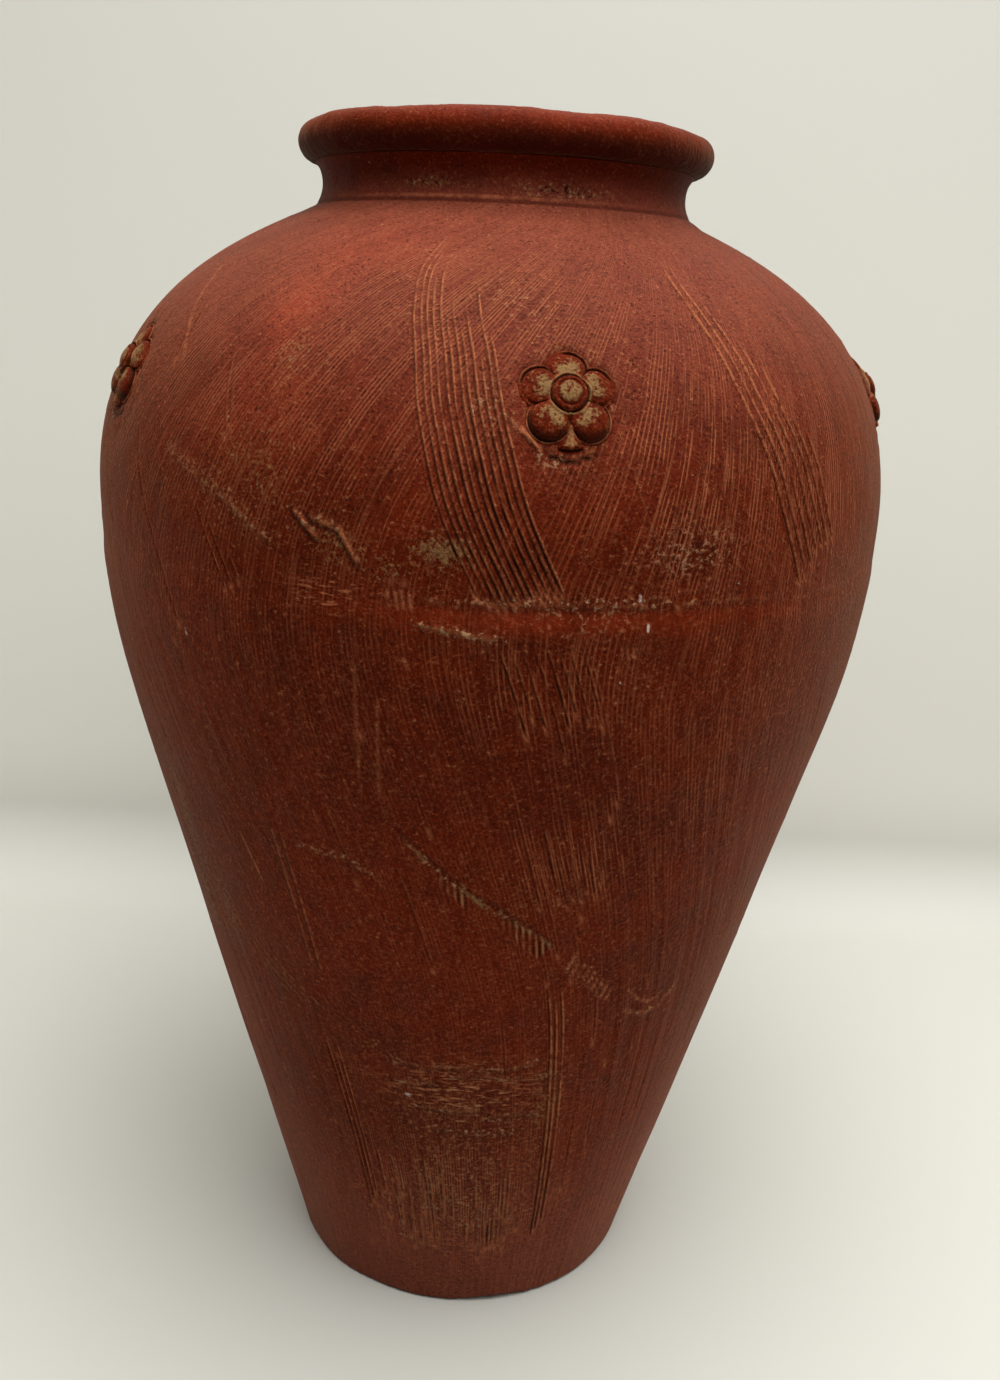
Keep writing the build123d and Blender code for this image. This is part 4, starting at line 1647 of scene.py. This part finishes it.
class PITHOS_OT_rosettes(bpy.types.Operator):
    """Five pressed rosettes on the shoulder"""

    bl_idname = "pithos.rosettes"
    bl_label = "Rosettes"

    ROWS = 84
    TURNS = 360
    BOTTOM_ROWS = 5
    # Radius of the plain disc that is turned first, in mm
    BLANK = 20

    def execute(self, context):
        for number, (node, azimuth) in enumerate(ROSETTES.items()):
            self.build_rosette(context, node, azimuth, number)
        return {"FINISHED"}

    def build_rosette(self, context, node, azimuth, number):
        """One rosette: a turned disc, pressed into its relief and laid on the shoulder."""
        skin = wall_skin()
        wall = context.scene.pithos_wall
        shape = SprigShape(context.scene.pithos_sprig, number)
        sink = wall.seat_depth / MM
        share = np.append(np.linspace(0, 1, self.ROWS), np.linspace(1, 0, self.BOTTOM_ROWS))
        drop = np.append(np.zeros(self.ROWS), np.full(self.BOTTOM_ROWS, -sink))
        section = np.column_stack([share * self.BLANK, drop])
        piece = turned_piece(f"{node}_clay", section, self.TURNS)
        row, column = grid_places(piece, self.TURNS)
        turn = column * 2 * pi / self.TURNS - pi / 2
        far = share[row] * shape.reach(turn)
        x, y = far * np.cos(turn), far * np.sin(turn)
        on_top = row < self.ROWS
        height, dust, hollow, worn = shape.relief(x, y)
        level = skin.outline.length_at_height(wall.rosette_height / MM)
        radius, rise, out_r, out_z = skin.outline.at(level + y)
        around = azimuth + np.degrees(x / radius)
        lift = np.where(on_top, height, -sink) + skin.read_around(skin.dent, around, level + y)
        set_round_places(piece, around, radius + out_r * lift, rise + out_z * lift)
        # Dust, painted shade in the hollows and painted highlights on lit edges
        for name, values in (("patina", dust), ("groove", hollow), ("worn", worn)):
            store(piece, name, np.where(on_top, values, 0))
        store(piece, "grit", 0.25)
        finish_piece(piece, node, rosette_clay(), (self.ROWS - 1, self.ROWS))


class PITHOS_OT_stage(bpy.types.Operator):
    """Pale sweep, soft light from above and the camera"""

    bl_idname = "pithos.stage"
    bl_label = "Stage"

    # Sweep: reach behind, before and beside the jar, height of its wall and size of its bend, in m
    BACK = 0.36
    FRONT = 2.6
    SIDE = 3.0
    WALL = 1.0
    BEND = 0.06
    # Lights: name, place, aim and width in metres, and the setting that holds the power
    LIGHTS = (
        ("overhead_light", (0.45, -0.50, 2.40), (0.2, -0.2, 0), 3.6, "key_power"),
        ("backdrop_light", (0.10, -0.32, 1.45), (0, 0.36, 0.25), 0.9, "back_power"),
    )
    ROOM_COLOUR = (1.0, 0.99, 0.96, 1)

    def execute(self, context):
        stage = context.scene.pithos_stage
        heading = stage.camera_turn - stage.camera_side
        self.add_sweep(stage, heading)
        self.add_lights(context, stage, heading)
        self.add_camera(context, stage, heading)
        context.scene.view_settings.view_transform = "Standard"
        return {"FINISHED"}

    def add_sweep(self, stage, heading):
        """Floor that bends up into a backdrop, and plain ground all round it."""
        start_piece()
        bpy.ops.mesh.primitive_plane_add(size=1)
        sweep = bpy.context.object
        sweep.name = "sweep"
        places = [(x, y, 0) for y in (-self.FRONT, self.BACK) for x in (-self.SIDE, self.SIDE)]
        sweep.data.vertices.foreach_set("co", np.array(places, float).ravel())
        bpy.ops.object.mode_set(mode="EDIT")
        bpy.ops.mesh.select_mode(type="EDGE")
        bpy.ops.mesh.select_all(action="DESELECT")
        self.select_back_edge(sweep)
        bpy.ops.mesh.extrude_region_move(TRANSFORM_OT_translate={"value": (0, 0, self.WALL)})
        self.select_back_edge(sweep)
        bpy.ops.mesh.bevel(offset=self.BEND, segments=12, affect="EDGES")
        bpy.ops.mesh.select_all(action="SELECT")
        bpy.ops.mesh.normals_make_consistent(inside=True)
        bpy.ops.object.mode_set(mode="OBJECT")
        sweep.data.transform(Matrix.Rotation(-heading, 4, "Z"))
        bpy.ops.object.shade_smooth()
        material = bpy.data.materials.new("sweep_paper")
        material.use_nodes = True
        shader = material.node_tree.nodes["Principled BSDF"]
        shader.inputs["Roughness"].default_value = 0.7
        self.paint_backdrop_light(material, stage)
        self.clear_from_behind(material)
        sweep.data.materials.append(material)
        start_piece()
        bpy.ops.mesh.primitive_plane_add(size=2 * self.SIDE, location=(0, 0, -MM))
        ground = bpy.context.object
        ground.name = "ground"
        ground.data.materials.append(material)

    def select_back_edge(self, sweep):
        """Selects only the edge where the floor ends behind the jar, and enters edit mode."""
        bpy.ops.object.mode_set(mode="OBJECT")
        for edge in sweep.data.edges:
            ends = [sweep.data.vertices[v].co for v in edge.vertices]
            edge.select = all(end.y > 0 and end.z < self.WALL / 2 for end in ends)
        bpy.ops.object.mode_set(mode="EDIT")

    def paint_backdrop_light(self, material, stage):
        """Floor colour, with painted light: a little paler over the bend and duller high on the wall,
        as painted shade.
        """
        bench = NodeBench(material.node_tree)
        height = bench.split(bench.place())[2]
        low = bench.spread(height, 0.0, 0.12, 0.92, 1.14)
        high = bench.spread(height, 0.3, 0.8, 1.0, 0.77)
        colour = {0: tuple(stage.floor_colour)}
        tone = bench.add("ShaderNodeVectorMath", {"operation": "SCALE"}, colour)
        bench.feed(tone.inputs["Scale"], bench.times(low, high))
        shader = material.node_tree.nodes["Principled BSDF"]
        bench.feed(shader.inputs["Base Color"], tone.outputs[0])

    def clear_from_behind(self, material):
        """Lets the camera see the jar through the back of the sweep."""
        nodes = material.node_tree.nodes
        bench = NodeBench(material.node_tree)
        clear = bench.add("ShaderNodeBsdfTransparent")
        mixed = bench.add("ShaderNodeMixShader")
        behind = bench.add("ShaderNodeNewGeometry").outputs["Backfacing"]
        seen = bench.add("ShaderNodeLightPath").outputs["Is Camera Ray"]
        bench.feed(mixed.inputs[0], bench.times(behind, seen))
        bench.feed(mixed.inputs[1], nodes["Principled BSDF"].outputs[0])
        bench.feed(mixed.inputs[2], clear.outputs[0])
        bench.feed(nodes["Material Output"].inputs["Surface"], mixed.outputs[0])

    def add_lights(self, context, stage, heading):
        """Two round soft lights, and a weak even light from all round."""
        turn = Matrix.Rotation(-heading, 4, "Z")
        for name, place, aim, size, power in self.LIGHTS:
            bpy.ops.object.light_add(type="AREA")
            light = context.object
            light.name = name
            light.data.shape = "DISK"
            light.data.size = size
            light.data.energy = getattr(stage, power)
            light.location = turn @ Vector(place)
            way = Vector(aim) - light.location
            light.rotation_mode = "QUATERNION"
            light.rotation_quaternion = way.to_track_quat("-Z", "Y")
        world = bpy.data.worlds.new("room")
        world.use_nodes = True
        background = world.node_tree.nodes["Background"]
        background.inputs["Color"].default_value = self.ROOM_COLOUR
        background.inputs["Strength"].default_value = stage.fill_strength
        context.scene.world = world

    def add_camera(self, context, stage, heading):
        """Camera in front of the jar, a little to the left and looking down."""
        bpy.ops.object.camera_add()
        camera = context.object
        camera.name = "camera"
        camera.data.lens = stage.lens
        camera.data.sensor_width = 36
        camera.data.clip_start = 0.01
        tilt, roll, side = stage.camera_tilt, stage.camera_roll, stage.camera_side
        right = Vector((cos(heading), -sin(heading), 0))
        ahead = Vector((sin(heading) * cos(tilt), cos(heading) * cos(tilt), -sin(tilt)))
        up = right.cross(ahead)
        right, up = right * cos(roll) + up * sin(roll), up * cos(roll) - right * sin(roll)
        far = stage.camera_distance
        matrix = Matrix((right, up, -ahead)).transposed().to_4x4()
        matrix.translation = Vector((far * sin(side), -far * cos(side), stage.camera_height))
        camera.matrix_world = matrix
        context.scene.camera = camera


class PITHOS_PT_panel(bpy.types.Panel):
    """Lists the steps that build the jar"""

    bl_idname = "PITHOS_PT_panel"
    bl_label = "Pithos"
    bl_space_type = "VIEW_3D"
    bl_region_type = "UI"
    bl_category = "Pithos"

    def draw(self, context):
        """Shows a button for each step, then the settings."""
        for step in STEPS:
            self.layout.operator(step.bl_idname)
        for group in SETTINGS:
            settings = getattr(context.scene, group)
            box = self.layout.box()
            for label in settings.__annotations__:
                box.prop(settings, label)


SETTINGS = {
    "pithos_wall": PithosWall,
    "pithos_neck": PithosNeck,
    "pithos_sprig": PithosSprig,
    "pithos_clay": PithosClay,
    "pithos_stage": PithosStage,
}
STEPS = (
    PITHOS_OT_base,
    PITHOS_OT_courses,
    PITHOS_OT_neck,
    PITHOS_OT_lip,
    PITHOS_OT_rosettes,
    PITHOS_OT_stage,
)


def register():
    """Adds the settings, the steps and the panel to Blender."""
    for kind in (*SETTINGS.values(), *STEPS, PITHOS_PT_panel):
        bpy.utils.register_class(kind)
    for name, kind in SETTINGS.items():
        setattr(bpy.types.Scene, name, bpy.props.PointerProperty(type=kind))


def unregister():
    """Takes them out again."""
    for name in SETTINGS:
        delattr(bpy.types.Scene, name)
    for kind in (PITHOS_PT_panel, *reversed(STEPS), *SETTINGS.values()):
        bpy.utils.unregister_class(kind)


def main():
    """Builds the jar and its stage."""
    register()
    bpy.ops.pithos.base()
    bpy.ops.pithos.courses()
    bpy.ops.pithos.neck()
    bpy.ops.pithos.lip()
    bpy.ops.pithos.rosettes()
    bpy.ops.pithos.stage()


if __name__ == "__main__":
    main()
